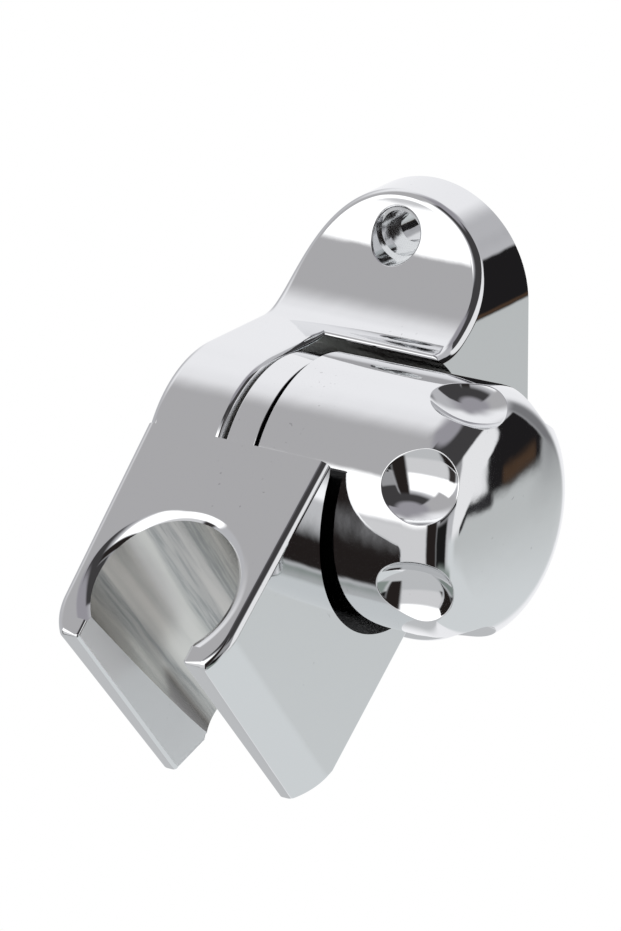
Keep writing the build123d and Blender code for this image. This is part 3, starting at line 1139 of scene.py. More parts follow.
@dataclass
class WallBracket:
    """The bracket: a swept front with soft edges, an ear, a roof over the knob and screw holes.

    The upper half is built, and mirrored below mid height. Its profile, as y and z, runs
    from the middle of the ear over the shelf and the sweep to the top.
    """

    half_width: float = 17.2
    lobe_rise: float = 20.0
    top: float = 37.2
    standoff: float = 38.3
    ear_radius: float = 18.5
    ear_face: float = -3.8
    ear_reach: float = -26.0
    ear_round: float = 1.0
    ear_fade: float = 2.5
    end_depth: float = 8.3
    bend_radius: float = 8.3
    bend_turn: float = 30.0
    sweep_radius: float = 23.0
    face_round: float = 1.6
    edge_round: float = 0.6
    roof_front: float = -25.398
    roof_low: float = 17.82
    recess: float = 22.0
    screw: tuple[float, float] = (-0.8, 30.3)
    screw_radius: float = 2.4
    head_radius: float = 4.2
    head_floor: float = -4.9
    ledge: float = -8.4
    ledge_width: float = 0.5
    rim_round: float = 0.4
    hollow_wall: float = 2.6

    def __post_init__(self) -> None:
        """Walk the profile and choose the rows and columns that all its faces share."""
        start = math.cos(math.radians(self.bend_turn))
        bend_top = self.ear_radius + self.bend_radius * (1 - start)
        turn = math.degrees(math.acos(start - (self.top - bend_top) / self.sweep_radius))
        run = self.sweep_radius * (math.sin(math.radians(turn)) - math.sin(math.radians(self.bend_turn)))
        self.shelf_end = -self.end_depth - run - self.bend_radius * math.sin(math.radians(self.bend_turn))
        self.profile = Track((-self.standoff - self.ear_radius, 0.0), 90.0)
        self.profile.bend(self.ear_radius, -90.0)
        self.profile.run(self.shelf_end + self.standoff)
        self.profile.bend(self.bend_radius, self.bend_turn)
        self.profile.bend(self.sweep_radius, turn - self.bend_turn)
        marks = self.profile.lengths
        self.sweep = np.linspace(marks[-2], self.profile.length, 1500)
        self.foot = float(self.at_height(self.lobe_rise, self.face_round))
        self.ear_end = self.on_shelf(self.ear_reach)
        self.roof = self.roof_front + self.edge_round
        roof_at = self.on_shelf(self.roof)
        self.left_rows = spread((0, marks[1], 30), (marks[1], self.ear_end, 9), (self.ear_end, roof_at, 1),
                                (roof_at, marks[2], 1), (marks[2], marks[3], 14), (marks[3], self.foot, 4))
        self.right_rows = self.left_rows[self.left_rows > marks[2] - 1e-6]
        self.wide = self.half_width - self.face_round
        self.split = self.ear_face - self.edge_round
        self.left_x, self.right_x = spread((-self.wide, self.split, 8)), spread((self.split, self.wide, 14))
        self.low = self.ear_radius - self.face_round
        self.lip = math.degrees(math.acos((self.roof_low - self.low) / self.face_round)) / 90
        self.share = spread((0, self.lip, 7), (self.lip, 1, 5))
        self.lean = self.share * math.pi / 2
        self.height = self.low + self.face_round * np.cos(self.lean)
        self.ends = self.edge_round * np.clip((self.height - self.roof_low)
                                              / (self.ear_radius - self.roof_low), 0, 1)
        self.arc = np.linspace(0, math.pi, 73)

    def at_height(self, height: Array | float, inset: float) -> Array:
        """Find the length at which the profile, set in by an inset, has a height.

        Args:
            height: Heights on the sweep.
            inset: How far the profile is set in along its normal.

        Returns:
            The lengths along the profile.
        """
        flat, normal = self.profile.at(self.sweep)
        return np.interp(height, (flat - inset * normal)[:, 1], self.sweep)

    def on_shelf(self, y: float) -> float:
        """Length along the profile at which the flat shelf has this y."""
        return self.profile.lengths[1] + y + self.standoff

    def front(self, along: Array, x: Array) -> tuple[Array, Array]:
        """Draw the profile across the bracket.

        Args:
            along: Lengths along the profile.
            x: Positions across.

        Returns:
            The points (x, y, z), and the normals, which have no x.
        """
        flat, normal = self.profile.at(along)
        return solid(x, flat), solid(0.0, normal)

    def lobe(self, angle: Array, middle: tuple[float, float], radius: float,
             inset: float) -> tuple[Array, Array, Array, Array]:
        """Lay a circle, seen from the front, on the profile set in by an inset.

        The point is the circle's own x and z, with the y that the inset profile has there.

        Args:
            angle: Angles round the circle.
            middle: The circle's x and z.
            radius: Its radius.
            inset: How far the profile is set in.

        Returns:
            The points, the profile's normals there, the circle's normals and the lengths.
        """
        height = middle[1] + radius * np.sin(angle)
        along = self.at_height(height, inset)
        flat, normal = self.profile.at(along)
        y = (flat - inset * normal)[..., 0]
        points = np.stack([middle[0] + radius * np.cos(angle), y, height], -1)
        away = np.stack([np.cos(angle), np.zeros_like(angle), np.sin(angle)], -1)
        return points, solid(0.0, normal), away, along

    def inset(self, along: Array, x: float, depth: float) -> tuple[Array, Array]:
        """Points of the profile set in by a depth, at one x, and the profile's normals."""
        flat, normal = self.profile.at(along)
        return solid(x, flat - depth * normal), solid(0.0, normal)

    def rolled_edge(self, skin: Skin) -> tuple[Array, Array]:
        """Roll the edge between the front and the sides, from the ear over the end to the roof.

        A ball of the edge's radius runs along the profile set in by that radius, and at the
        roof its last arc is bent back on to the recess round the knob.

        Args:
            skin: The skin to add to.

        Returns:
            The band of the edge, and its last arc at the roof.
        """
        soft = self.face_round
        turned = self.lobe(self.arc[::-1], (0.0, self.lobe_rise), self.wide, soft)
        left = self.inset(self.left_rows, -self.wide, soft)
        right = self.inset(self.right_rows[::-1], self.wide, soft)
        sides = [np.broadcast_to((side, 0.0, 0.0), block[0].shape)
                 for side, block in ((-1.0, left), (1.0, right))]
        band, ways = roll(np.concatenate([left[0], turned[0], right[0]]),
                          np.concatenate([left[1], turned[1], right[1]]),
                          np.concatenate([sides[0], turned[2], sides[1]]), soft, self.share)
        end_y = np.maximum(self.roof_front + self.ends,
                           np.sqrt(self.recess ** 2 - self.height ** 2) - self.standoff)
        last = np.stack([self.wide + soft * np.sin(self.lean), end_y, self.height], -1)
        skin.grid(np.concatenate([band, last[None]]), np.concatenate([ways, ways[-1:]]))
        return band, last

    def ear_edges(self) -> tuple[Array, Array]:
        """Find the ear's inner edge for each left row.

        The edge's radius falls from the ear's to the roof's as the root of the way that is
        left to the roof.

        Returns:
            The edge's radius, and the x at which its round starts.
        """
        ahead = np.clip((self.ear_end - self.left_rows) / self.ear_fade, 0, 1)
        round_off = self.edge_round + (self.ear_round - self.edge_round) * np.sqrt(ahead)
        return round_off, self.ear_face - round_off

    def fronts(self, skin: Skin) -> None:
        """Add the front: the strip over the ear, the strip over the roof and the end.

        The end is drawn between the screw hole's rim and the border, along lines that run
        out from the hole.

        Args:
            skin: The skin to add to.
        """
        wide, split = self.wide, self.split
        ear_x = -wide + (self.ear_edges()[1][:, None] + wide) * (self.left_x + wide) / (split + wide)
        skin.grid(*self.front(np.broadcast_to(self.left_rows[:, None], ear_x.shape), ear_x))
        rows = np.append(self.on_shelf(self.roof), self.right_rows)
        skin.grid(*self.front(*np.meshgrid(rows, self.right_x, indexing="ij")))
        outer = self.lobe(self.arc, (0.0, self.lobe_rise), wide, self.face_round)
        across = np.concatenate([self.left_x[1:], self.right_x[1:]])
        out_x = np.concatenate([outer[0][:, 0], across])
        out_s = np.concatenate([outer[3], np.full(len(across), self.foot)])
        out_z = self.profile.at(out_s)[0][:, 1]
        round_hole = np.arctan2(out_z - self.screw[1], out_x - self.screw[0])
        rim = self.lobe(round_hole, self.screw, self.head_radius + self.rim_round, self.rim_round)
        steps = spread((0, 0.12, 4), (0.12, 1, 12))[:, None]
        skin.grid(*self.front(rim[3] + (out_s - rim[3]) * steps, rim[0][:, 0] + (out_x - rim[0][:, 0]) * steps))
        self.screw_hole(skin, round_hole, rim)

    def screw_hole(self, skin: Skin, angle: Array, rim: tuple[Array, Array, Array, Array]) -> None:
        """Add the screw hole: its rolled rim, the counterbore with its ledge, and the bore.

        Each wall is filled in evenly between two circles of the same angles.

        Args:
            skin: The skin to add to.
            angle: Angles round the hole.
            rim: Points, normals, outward ways and lengths of the rim's ball centres.
        """
        rounded, ways = roll(rim[0], rim[1], -rim[2], self.rim_round, np.linspace(0, 1, 7))
        skin.grid(rounded, ways)
        inside = self.head_radius - self.ledge_width
        circles = [np.stack([self.screw[0] + radius * np.cos(angle), np.full_like(angle, y),
                             self.screw[1] + radius * np.sin(angle)], -1)
                   for radius, y in ((self.head_radius, self.ledge), (inside, self.ledge),
                                     (inside, self.head_floor), (self.screw_radius, self.head_floor),
                                     (self.screw_radius, 0.0))]
        inward, forward = -rim[2][:, None], (0.0, -1.0, 0.0)
        for first, last, normal in zip([rounded[:, -1], *circles], circles,
                                       (inward, forward, inward, forward, inward)):
            # The hole's walls are in the darker recess finish, which paints shade.
            skin.grid(stretch(first, last, np.array([0.0, 1.0])), normal, Zone.HOLLOW)

    def roof_over_knob(self, skin: Skin) -> Array:
        """Add the roof: its rolled rim, its corner, the recess round the knob and its narrow front.

        The recess is the circle round the barrel, filled in from the ear's face to the
        right side.

        Args:
            skin: The skin to add to.

        Returns:
            The recess's points.
        """
        edge, forward = self.edge_round, (0.0, -1.0, 0.0)
        bow = np.linspace(0, math.pi / 2, 8)[:, None]
        start = self.split + edge * np.sin(bow)
        roof_x = start + (self.wide - start) * (self.right_x - self.split) / (self.wide - self.split)
        rolled = np.stack(np.broadcast_arrays(roof_x, self.roof - edge * np.sin(bow),
                                              self.ear_radius - edge + edge * np.cos(bow)), -1)
        skin.grid(rolled, np.broadcast_to(np.stack([0 * bow, -np.sin(bow), np.cos(bow)], -1), rolled.shape))
        kept = self.share <= self.lip + 1e-9
        out = np.stack([np.sin(self.lean[kept]), 0 * self.lean[kept], np.cos(self.lean[kept])], -1)
        small = np.maximum(self.ends[kept], 1e-4)
        centre = np.stack([np.full(len(out), self.wide), self.roof_front + small,
                           np.full(len(out), self.low)], -1) + (self.face_round - small)[:, None] * out
        corner, ways = roll(centre, out, np.broadcast_to(forward, out.shape), small, np.linspace(0, 1, 8))
        skin.grid(corner, ways)
        tail = self.share >= self.lip - 1e-9
        down = np.concatenate([self.height[tail], np.linspace(self.low, 0, 25)[1:]])
        far = np.concatenate([self.wide + self.face_round * np.sin(self.lean[tail]),
                              np.full(24, self.half_width)])
        wall = np.stack([np.sqrt(self.recess ** 2 - down ** 2) - self.standoff, down], -1)
        across = self.ear_face + (far - self.ear_face)[:, None] * np.linspace(0, 1, 9)
        cove = np.stack(np.broadcast_arrays(across, wall[:, :1], wall[:, 1:]), -1)
        inward = solid(0.0, -unit(wall + (self.standoff, 0.0)))
        skin.grid(cove, np.broadcast_to(inward[:, None], cove.shape))
        skin.sheet(np.concatenate([rolled[-1], corner[1:, -1], cove[0][::-1]]), forward)
        return cove

    def ear(self, skin: Skin, cove: Array) -> None:
        """Add the ear's rolled inner edge, mitred into the roof's rim, and its flat inner face, which is
        coloured dark grey as painted shade in the gap by the hub.

        Args:
            skin: The skin to add to.
            cove: Points of the recess round the knob.
        """
        round_off, ear_split = self.ear_edges()
        on_ear = self.left_rows < self.ear_end + 1e-6
        flat, normal = self.profile.at(self.left_rows[on_ear])
        centre = solid(ear_split[on_ear], flat - round_off[on_ear][:, None] * normal)
        out = solid(0.0, normal)
        turn = np.linspace(0, 1, 8)
        rounded, ways = roll(centre, out, np.broadcast_to((1.0, 0.0, 0.0), out.shape), round_off[on_ear], turn)
        swing = turn * math.pi / 2
        edge = self.edge_round
        mitre = np.stack([self.split + edge * np.sin(swing), self.roof - edge * np.sin(swing),
                          self.ear_radius - edge + edge * np.cos(swing)], -1)
        skin.grid(np.concatenate([rounded, mitre[None]]), np.concatenate([ways, ways[-1:]]))
        # The flat inner face is coloured dark grey as painted shade.
        skin.sheet(np.concatenate([rounded[:, -1], mitre[-1:], cove[:, 0]]), (1.0, 0.0, 0.0), Zone.SEAM)

    def sides(self, skin: Skin, band: Array, last: Array, cove: Array) -> None:
        """Add the two flat sides and the round side of the end.

        Args:
            skin: The skin to add to.
            band: The rolled edge's points.
            last: The rolled edge's last arc.
            cove: Points of the recess round the knob.
        """
        left, right = band[:len(self.left_rows), -1], band[-len(self.right_rows):, -1]
        tail = int((self.share >= self.lip - 1e-9).sum())
        right = np.concatenate([right, last[-1:], cove[tail:, -1]])[::-1]
        for side, line in ((-1.0, left), (1.0, right)):
            x = side * self.half_width
            skin.sheet(np.concatenate([line, [(x, 0.0, self.lobe_rise), (x, 0.0, 0.0)]]), (side, 0.0, 0.0),
                       Zone.FLAT)
        around = band[len(left):len(left) + len(self.arc), -1]
        turned = self.lobe(self.arc[::-1], (0.0, self.lobe_rise), self.wide, self.face_round)
        skin.grid(stretch(around, around * (1.0, 0.0, 1.0), np.linspace(0, 1, 3)), turned[2][:, None])

    def upper(self) -> Skin:
        """Build the upper half of the outside, open at the wall face and at mid height.

        Returns:
            The half's skin.
        """
        skin = Skin("upper_half")
        band, last = self.rolled_edge(skin)
        self.fronts(skin)
        cove = self.roof_over_knob(skin)
        self.ear(skin, cove)
        self.sides(skin, band, last, cove)
        return skin

    def hidden(self, middles: Array) -> Array:
        """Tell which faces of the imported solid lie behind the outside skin.

        Args:
            middles: The faces' middles, in millimetres.

        Returns:
            True for the faces of the hollow back and its rim.
        """
        near = 0.05
        x, y, z = middles.T
        size = np.abs(z)
        reach = np.hypot(x, np.maximum(size - self.lobe_rise, 0.0))
        line = self.profile.at(np.linspace(0, self.profile.length, 300))[0]
        depth = np.sqrt(((np.stack([y, size], -1)[:, None] - line) ** 2).sum(-1)).min(1)
        knob_side = (x > self.ear_face - near) & (np.hypot(y + self.standoff, z) < self.recess + near)
        screw = np.hypot(x - self.screw[0], size - self.screw[1]) < self.head_radius + near
        inner = (reach < self.half_width - self.hollow_wall + 0.03) & (depth > self.hollow_wall - 0.5)
        return (y > -0.01) | (inner & ~knob_side & ~screw)

    def build(self) -> None:
        """Make the outside, mirrored below mid height, and the hollow back."""
        half = self.upper()
        skin = Skin("swept_bracket")
        skin.absorb(half)
        skin.mirrored(half, Axis.Z)
        # Hollows are darker chrome as painted shade, and the ear's inner face is dark grey as painted shade.
        skin.build([CHROME, PAINTED_RECESS_SHADE, PAINTED_GAP_SHADE, FLAT_CHROME], Body.BRACKET, "wall_bracket")
        keep_faces("wall_bracket", "bracket_back", Body.BRACKET, CHROME, self.hidden)


def keep_faces(node: str, name: str, body: Body, finish: Finish, keep: Callable[[Array], Array]) -> None:
    """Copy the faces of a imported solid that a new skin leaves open, such as its hollow back.

    Args:
        node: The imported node.
        name: The new piece's name.
        body: The body that it moves with.
        finish: Its finish.
        keep: Tells from the faces' middles, in millimetres, which are kept.
    """
    source = bpy.data.objects[node]
    mesh = source.data.copy()
    mesh.name = name
    mesh.transform(source.matrix_world)
    middles = np.empty(3 * len(mesh.polygons), np.float32)
    mesh.polygons.foreach_get("center", middles)
    kept = keep(middles.reshape(-1, 3) / MM)
    work = bmesh.new()
    work.from_mesh(mesh)
    bmesh.ops.delete(work, geom=[face for face, stays in zip(work.faces, kept) if not stays], context="FACES")
    bmesh.ops.remove_doubles(work, verts=work.verts, dist=1e-6)
    work.to_mesh(mesh)
    work.free()
    mesh.materials.clear()
    mesh.materials.append(finish.material())
    mesh.polygons.foreach_set("use_smooth", np.ones(len(mesh.polygons), bool))
    mesh.set_sharp_from_angle(angle=math.radians(25.0))
    piece = bpy.data.objects.new(name, mesh)
    bpy.context.scene.collection.objects.link(piece)
    piece.modifiers.new("flat_faces", "WEIGHTED_NORMAL").keep_sharp = True
    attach(piece, body.value)
    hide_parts(node)
    log.info("%s: %d faces kept", name, len(mesh.polygons))


def edge_ball(points: Array, first: Array, last: Array, radius: Array | float) -> Array:
    """Find the centre of a ball that touches two faces along their common edge.

    It lies behind the edge by the radius times the sum of the faces' normals, over one
    plus their cosine.

    Args:
        points: Points of the edge.
        first: Normals of the first face there.
        last: Normals of the second face there.
        radius: The ball's radius.

    Returns:
        The centres.
    """
    cosine = (first * last).sum(-1, keepdims=True)
    return points - np.reshape(radius, (-1, 1)) * (first + last) / (1 + cosine)


@dataclass
class Cradle:
    """The cradle: a block with a conical socket and its mouth, on a hub disc.

    It is built in its own frame, x across, u along the plate and d down the socket from
    the plate, and then turned to its tilt. The half with x above zero is built, and
    mirrored.
    """

    tilt: float = CRADLE_TILT
    offset: float = 2.25
    axis_y: float = -38.3
    plate_rise: float = 22.1
    rear: float = 7.9
    rear_half: float = 16.5
    taper: float = 0.027
    draft: float = 0.033
    depth: float = 42.9
    clearance: float = 21.7
    corner_start: float = 39.0
    corner_radius: float = 10.0
    front: float = 45.5
    mouth: float = 9.5
    tip_round: float = 1.4
    jaw_round: float = 0.6
    centre: float = 34.0
    top_radius: float = 12.0
    bottom_radius: float = 9.9
    lip_radius: float = 14.0
    lip_depth: float = 0.95
    lip_slope: float = 6.0
    lip_end: float = 42.4
    toe_start: float = 38.0
    toe_slope: float = 0.3974
    toe_blend: float = 0.4
    plate_round: float = 1.35
    mouth_round: float = 0.5
    bottom_round: float = 0.45
    bore_round: float = 0.3
    hub_left: float = -2.75
    hub_right: float = 2.4
    hub_radius: float = 18.5
    hub_round: float = 0.3

    def __post_init__(self) -> None:
        """Walk the outer line at the plate: side, corner, small tip arc, front and jaw.

        The corner ends where the tip arc, tangent to it and to the front, takes over.
        Each point has its turn, its share of the draft and the radius of its edge.
        """
        slant = math.atan(self.taper)
        toe_share = (self.toe_start - self.rear) / (self.corner_start - self.rear)
        self.side_share = np.unique(np.append(spread((0, 0.9, 9), (0.9, 1.0, 3)), toe_share))
        side = np.stack([self.rear_half - self.taper * (self.corner_start - self.rear) * self.side_share,
                         self.rear + (self.corner_start - self.rear) * self.side_share], -1)
        front_x = self.rear_half - self.taper * (self.corner_start - self.rear)
        middle = np.array([front_x - self.corner_radius * math.cos(slant),
                           self.corner_start - self.corner_radius * math.sin(slant)])
        inner = self.corner_radius - self.tip_round
        meet = math.asin((self.front - self.tip_round - middle[1]) / inner)
        big, small = np.linspace(slant, meet, 15)[1:], np.linspace(meet, math.pi / 2, 8)[1:]
        tip = middle + inner * ray(meet)
        jaw = np.linspace(math.pi / 2, math.pi, 9)
        jaw_centre = np.array([self.mouth + self.jaw_round, self.front - self.jaw_round])
        flat = np.linspace(tip[0], jaw_centre[0], 5)[1:-1]
        self.line = np.concatenate([
            side, middle + self.corner_radius * ray(big), tip + self.tip_round * ray(small),
            np.stack([flat, np.full(3, self.front)], -1), jaw_centre + self.jaw_round * ray(jaw)])
        angle = np.concatenate([np.full(len(side), slant), big, small, np.full(3, math.pi / 2), jaw])
        full = np.ones(len(side) + len(big) + len(small))
        self.fade = np.concatenate([full, [0.75, 0.5, 0.25], np.zeros(len(jaw))])
        self.soft = np.concatenate([full * self.plate_round,
                                    np.linspace(self.plate_round, self.mouth_round, 5)[1:-1],
                                    np.full(len(jaw), self.mouth_round)])
        self.normal = unit(np.concatenate([ray(angle), self.draft * self.fade[:, None]
                                           * np.cos(angle)[:, None]], -1))
        over = (self.line[:, 1] - self.toe_start + self.toe_blend) / (2 * self.toe_blend)
        self.toe_lean = math.atan(self.toe_slope) * np.clip(over, 0, 1)
        self.toe = np.array([self.mouth, self.toe_start, self.depth])
        self.lip_gap = self.lip_end - self.centre
        self.lip_corner = math.hypot(self.mouth, self.lip_gap)
        self.part = np.linspace(0, 1, 57)

    def rear_at(self, d: Array) -> Array:
        """The block's rear wall: the plate's own, or the clearance circle round the barrel."""
        return np.maximum(self.rear, np.sqrt(np.maximum(self.clearance ** 2 - (d - self.plate_rise) ** 2, 0)))

    def bore(self, d: Array) -> Array:
        """The socket's radius, falling evenly with depth below the lip."""
        fall = (self.top_radius - self.bottom_radius) / (self.depth - self.lip_depth)
        return self.top_radius - fall * (d - self.lip_depth)

    def bottom(self, u: Array) -> Array:
        """Depth of the underside: flat, then rising over the toe."""
        return self.depth - self.toe_slope * np.maximum(u - self.toe_start, 0)

    def outer(self, d: Array) -> Array:
        """Draw the outer line at a depth.

        The side runs from the rear wall at that depth, and every point comes in by the
        draft times the depth.

        Args:
            d: A depth for each of the line's points, or rows of them.

        Returns:
            The line's points.
        """
        share = np.append(self.side_share, np.ones(len(self.line) - len(self.side_share)))
        rear = self.rear_at(d)
        u = np.where(share < 1, rear + (self.corner_start - rear) * share, self.line[:, 1])
        x = np.where(share < 1, self.rear_half - self.taper * (u - self.rear), self.line[:, 0])
        return np.stack(np.broadcast_arrays(x - self.draft * self.fade * d, u, d), -1)

    def walls(self, skin: Skin) -> tuple[Array, Array, Array, Array]:
        """Add the outer wall between its rolled edges, the jaw's lower corner and the rear wall.

        Args:
            skin: The skin to add to.

        Returns:
            The rolled edge at the plate, the outer wall, the rolled edge at the underside and
            the rear wall.
        """
        plate, under = self.outer(np.zeros(len(self.line))), self.outer(self.bottom(self.line[:, 1]))
        up = np.broadcast_to((0.0, 0.0, -1.0), plate.shape)
        down = np.stack([0 * self.toe_lean, np.sin(self.toe_lean), np.cos(self.toe_lean)], -1)
        top, top_ways = roll(edge_ball(plate, self.normal, up, self.soft), up, self.normal, self.soft,
                             np.linspace(0, 1, 10))
        low, low_ways = roll(edge_ball(under, self.normal, down, self.bottom_round), self.normal, down,
                             self.bottom_round, np.linspace(0, 1, 6))
        first, last = top[:, -1, 2], low[:, 0, 2]
        wall = self.outer(first + (last - first) * np.linspace(0, 1, 41)[:, None])
        wall[0], wall[-1] = top[:, -1], low[:, 0]
        skin.grid(top, top_ways)
        flat = len(self.side_share)
        skin.grid(wall[:, :flat], self.normal[:flat], Zone.FLAT)
        skin.grid(wall[:, flat - 1:], self.normal[flat - 1:])
        skin.grid(low, low_ways)
        skin.grid(np.stack([low[-1], np.repeat([self.toe], len(low[-1]), 0)]), np.stack([low_ways[-1]] * 2))
        edge = np.concatenate([top[0], wall[1:, 0], low[0, 1:]])
        away = np.stack([0 * edge[:, 0], -edge[:, 1], self.plate_rise - edge[:, 2]], -1)
        away[edge[:, 1] < self.rear + 0.01] = (0.0, -1.0, 0.0)
        rear = stretch(edge * (0.0, 1.0, 1.0), edge, np.linspace(0, 1, 5))
        # The rear wall facing the barrel is coloured near black as painted shade.
        skin.grid(rear, unit(away)[:, None], Zone.SEAM)
        return top, wall, low, rear

    def lip(self, skin: Skin) -> tuple[Array, Array]:
        """Add the bowed bevel round the socket, cut off square before the jaw tips.

        Its section is an arc that starts at a small slope on the plate and ends on the
        socket's wall; each point of it is turned about the socket from the mouth, or from
        the square cut where that comes first.

        Args:
            skin: The skin to add to.

        Returns:
            The bevel's points and the radius of each of its rows.
        """
        radius = spread((self.top_radius, self.lip_corner, 5), (self.lip_corner, self.lip_radius, 7))[::-1]
        limit = np.maximum(np.arccos(np.minimum(self.lip_gap / radius, 1)), np.arcsin(self.mouth / radius))
        swing = limit[:, None] + (math.pi - limit[:, None]) * self.part
        width, first = self.lip_radius - self.top_radius, math.radians(self.lip_slope)
        bow = width / (math.sin(2 * math.atan(self.lip_depth / width) - first) - math.sin(first))
        slope = np.arcsin(math.sin(first) + (self.lip_radius - radius) / bow)
        fall = bow * (math.cos(first) - np.cos(slope))
        bevel = np.stack(np.broadcast_arrays(radius[:, None] * np.sin(swing),
                                             self.centre + radius[:, None] * np.cos(swing), fall[:, None]), -1)
        tilt = np.sin(slope)[:, None]
        skin.grid(bevel, np.stack(np.broadcast_arrays(-tilt * np.sin(swing), -tilt * np.cos(swing),
                                                      -np.cos(slope)[:, None]), -1))
        return bevel, radius

    def socket(self, skin: Skin) -> tuple[Array, Array]:
        """Add the socket's cone, with a rolled lower edge.

        Each row is a circle of the socket's radius at its depth, open at the mouth.

        Args:
            skin: The skin to add to.

        Returns:
            The cone's points and the lower edge's points.
        """
        depths = spread((self.lip_depth, self.depth, 30))
        bore = self.bore(depths)[:, None]
        swing = np.arcsin(self.mouth / bore) + (math.pi - np.arcsin(self.mouth / bore)) * self.part
        cone = np.stack(np.broadcast_arrays(bore * np.sin(swing), self.centre + bore * np.cos(swing),
                                            depths[:, None]), -1)
        narrow = (self.top_radius - self.bottom_radius) / (self.depth - self.lip_depth)
        facing = unit(np.stack([-np.sin(swing), -np.cos(swing), np.full_like(swing, -narrow)], -1))
        floor = np.broadcast_to((0.0, 0.0, 1.0), cone[-1].shape)
        ball = edge_ball(cone[-1], facing[-1], floor, self.bore_round)
        edge, ways = roll(ball, facing[-1], floor, self.bore_round, np.linspace(0, 1, 5))
        cone[-1] = edge[:, 0]
        skin.grid(cone, facing, Zone.HOLLOW)
        skin.grid(edge, ways, Zone.HOLLOW)
        return cone, edge

    def flats(self, skin: Skin, walls: tuple[Array, Array, Array, Array], lip: tuple[Array, Array],
              socket: tuple[Array, Array]) -> None:
        """Add the flat faces: mouth wall, step of the lip, plate, underside and toe.

        Args:
            skin: The skin to add to.
            walls: The rolled edge at the plate, the outer wall, the rolled edge at the
                underside and the rear wall.
            lip: The bevel's points and the radius of each of its rows.
            socket: The cone's points and the lower edge's points.
        """
        (top, wall, low, rear), (bevel, radius), (cone, cone_edge) = walls, lip, socket
        outside = radius >= self.lip_corner - 1e-6
        step, inner = bevel[outside][:, 0], bevel[~outside][:, 0]
        mouth_rim = [(self.mouth, self.lip_end, top[-1, -1, 2]), (self.mouth, self.lip_end, step[-1, 2])]
        skin.sheet(np.concatenate([[top[-1, -1]], mouth_rim, inner, cone[1:, 0], cone_edge[0, 1:],
                                   [self.toe, low[-1, 0]], wall[-2:0:-1, -1]]), (-1.0, 0.0, 0.0), Zone.MOUTH)
        soft, bow = self.mouth_round, np.linspace(0, math.pi / 2, 5)
        ways = np.stack([-np.cos(bow), 0 * bow, -np.sin(bow)], -1)
        rim = np.array([self.mouth + soft, self.lip_end, soft]) + soft * ways
        skin.grid(np.stack([top[-1, ::-1][np.linspace(0, 9, 5).astype(int)], rim]), np.stack([ways, ways]))
        skin.sheet(np.concatenate([step, rim]), (0.0, -1.0, 0.0))
        skin.sheet(np.concatenate([rear[0, :-1], top[:, 0], rim[-1:], bevel[0]]),
                   (0.0, 0.0, -1.0), Zone.FLAT)
        ahead = self.line[:, 1] >= self.toe_start - 1e-6
        skin.sheet(np.concatenate([rear[-1, :-1], low[:np.argmax(ahead) + 1, -1], [self.toe],
                                   cone_edge[:, -1]]), (0.0, 0.0, 1.0))
        lean = self.toe_lean[-1]
        skin.sheet(np.concatenate([low[ahead][:, -1], [self.toe]]), (0.0, math.sin(lean), math.cos(lean)))

    def half(self) -> Skin:
        """Build the half with x above zero, open at x zero, in the cradle's own frame.

        Returns:
            The half's skin.
        """
        skin = Skin("cradle_half")
        self.flats(skin, self.walls(skin), self.lip(skin), self.socket(skin))
        return skin

    def web(self, skin: Skin) -> None:
        """Add the flat web between the hub disc and the block, in the cradle's own frame.

        Args:
            skin: The skin to add to.
        """
        reach = math.acos(self.rear / self.clearance)
        bow = np.linspace(-reach, reach, 41)
        left, right = self.hub_left - self.offset, self.hub_right - self.offset
        for x, side in ((left, -1.0), (right, 1.0)):
            skin.sheet(np.stack([np.full(41, x), self.clearance * np.cos(bow),
                                 self.plate_rise + self.clearance * np.sin(bow)], -1), (side, 0.0, 0.0))
        rise = self.clearance * math.sin(reach)
        skin.sheet(np.array([(x, self.rear, self.plate_rise + d) for x, d in
                             ((left, -rise), (right, -rise), (right, rise), (left, rise))]), (0.0, -1.0, 0.0))

    def hub(self, skin: Skin) -> None:
        """Add the hub disc with its soft rims, turned about the barrel.

        The disc is its rounded profile of x and radius, and its two flat faces.

        Args:
            skin: The skin to add to, in the model's frame.
        """
        soft = self.hub_round
        track = Track((self.hub_left, self.hub_radius - soft), 90.0).bend(soft, -90.0)
        track.run(self.hub_right - self.hub_left - 1.5 * soft).bend(soft / 2, -90.0)
        marks = track.lengths
        self.turned(skin, track, spread(*zip(marks, marks[1:], (6, 4, 4))), Zone.OUTSIDE)
        # The right face, towards the knob, is coloured near black as painted shade in the gap.
        for x, radius, heading, length, zone in (
                (self.hub_right, self.hub_radius - soft / 2, -90.0, self.hub_radius - soft / 2, Zone.SEAM),
                (self.hub_left, 0.0, 90.0, self.hub_radius - soft, Zone.MOUTH)):
            run = Track((x, radius), heading).run(length)
            self.turned(skin, run, np.array([0.0, length]), zone)

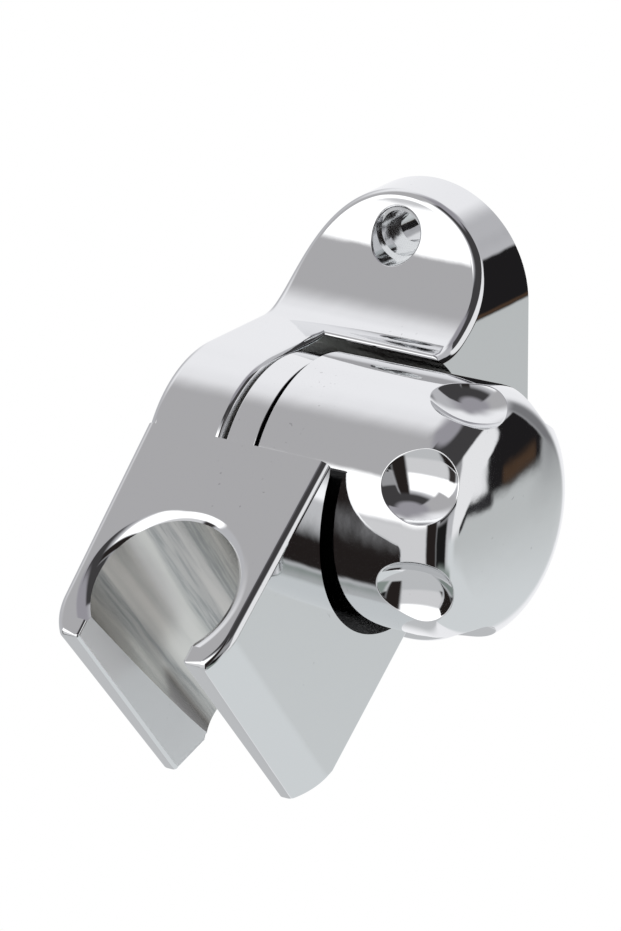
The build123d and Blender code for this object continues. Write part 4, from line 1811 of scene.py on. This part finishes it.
    def turned(self, skin: Skin, track: Track, along: Array, zone: Zone) -> None:
        """Turn a line of x and radius about the barrel and add it.

        Args:
            skin: The skin to add to.
            track: The line, walked with the outside on its left.
            along: Lengths along it.
            zone: The zone of its faces.
        """
        flat, normal = track.at(along)
        around = np.linspace(0, 2 * math.pi, 145)
        skin.grid(turned_about(flat, around, self.axis_y), turned_about(normal, around, 0.0), zone)

    def build(self) -> None:
        """Make the cradle: two mirrored halves, the web and the hub disc."""
        half = self.half()
        skin = Skin("socket_cradle")
        skin.absorb(half)
        skin.mirrored(half, Axis.X)
        self.web(skin)
        lean = math.radians(self.tilt)
        along = np.array([0.0, -math.cos(lean), -math.sin(lean)])
        down = np.array([0.0, math.sin(lean), -math.cos(lean)])
        skin.place(np.stack([(1.0, 0.0, 0.0), along, down]),
                   np.array([self.offset, self.axis_y, 0.0]) - self.plate_rise * down)
        self.hub(skin)
        # The near-black finish paints shade on the rear wall and on the hub face towards the knob.
        skin.build([CHROME, BORE_CHROME, PAINTED_SHADE_BLACK, FLAT_CHROME, SATIN_CHROME], Body.CRADLE, "cradle")


def dress_node(name: str, finish: Finish, angle: float = 30.0) -> None:
    """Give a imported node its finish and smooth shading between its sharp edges.

    Args:
        name: The node's name.
        finish: The finish of its material.
        angle: Edges sharper than this many degrees stay sharp.
    """
    piece = bpy.data.objects[name]
    piece.data.materials.clear()
    piece.data.materials.append(finish.material())
    piece.data.polygons.foreach_set("use_smooth", np.ones(len(piece.data.polygons), bool))
    weld = piece.modifiers.new("weld", "WELD")
    weld.merge_threshold = 1e-6
    split = piece.modifiers.new("sharp_edges", "EDGE_SPLIT")
    split.split_angle = math.radians(angle)
    split.use_edge_sharp = False
    piece.modifiers.new("flat_faces", "WEIGHTED_NORMAL")
    log.info("%s: packed solid in %s", name, finish.name)


def main() -> None:
    """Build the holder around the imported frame, piece by piece, and the studio."""
    logging.basicConfig(level=logging.INFO, format="%(message)s")
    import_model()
    cad_box = [list(corner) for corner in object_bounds()]
    for node, finish in (("pivot_stud", BRASS), ("knob_insert", BRASS), ("thrust_washer", STEEL),
                         ("inner_friction_washer", RUBBER), ("outer_friction_washer", RUBBER),
                         ("hub_bush", NATURAL)):
        dress_node(node, finish)
    WallBracket().build()
    Cradle().build()
    ClampKnob().build()
    Studio().build(cad_box[0][2])


if __name__ == "__main__":
    main()
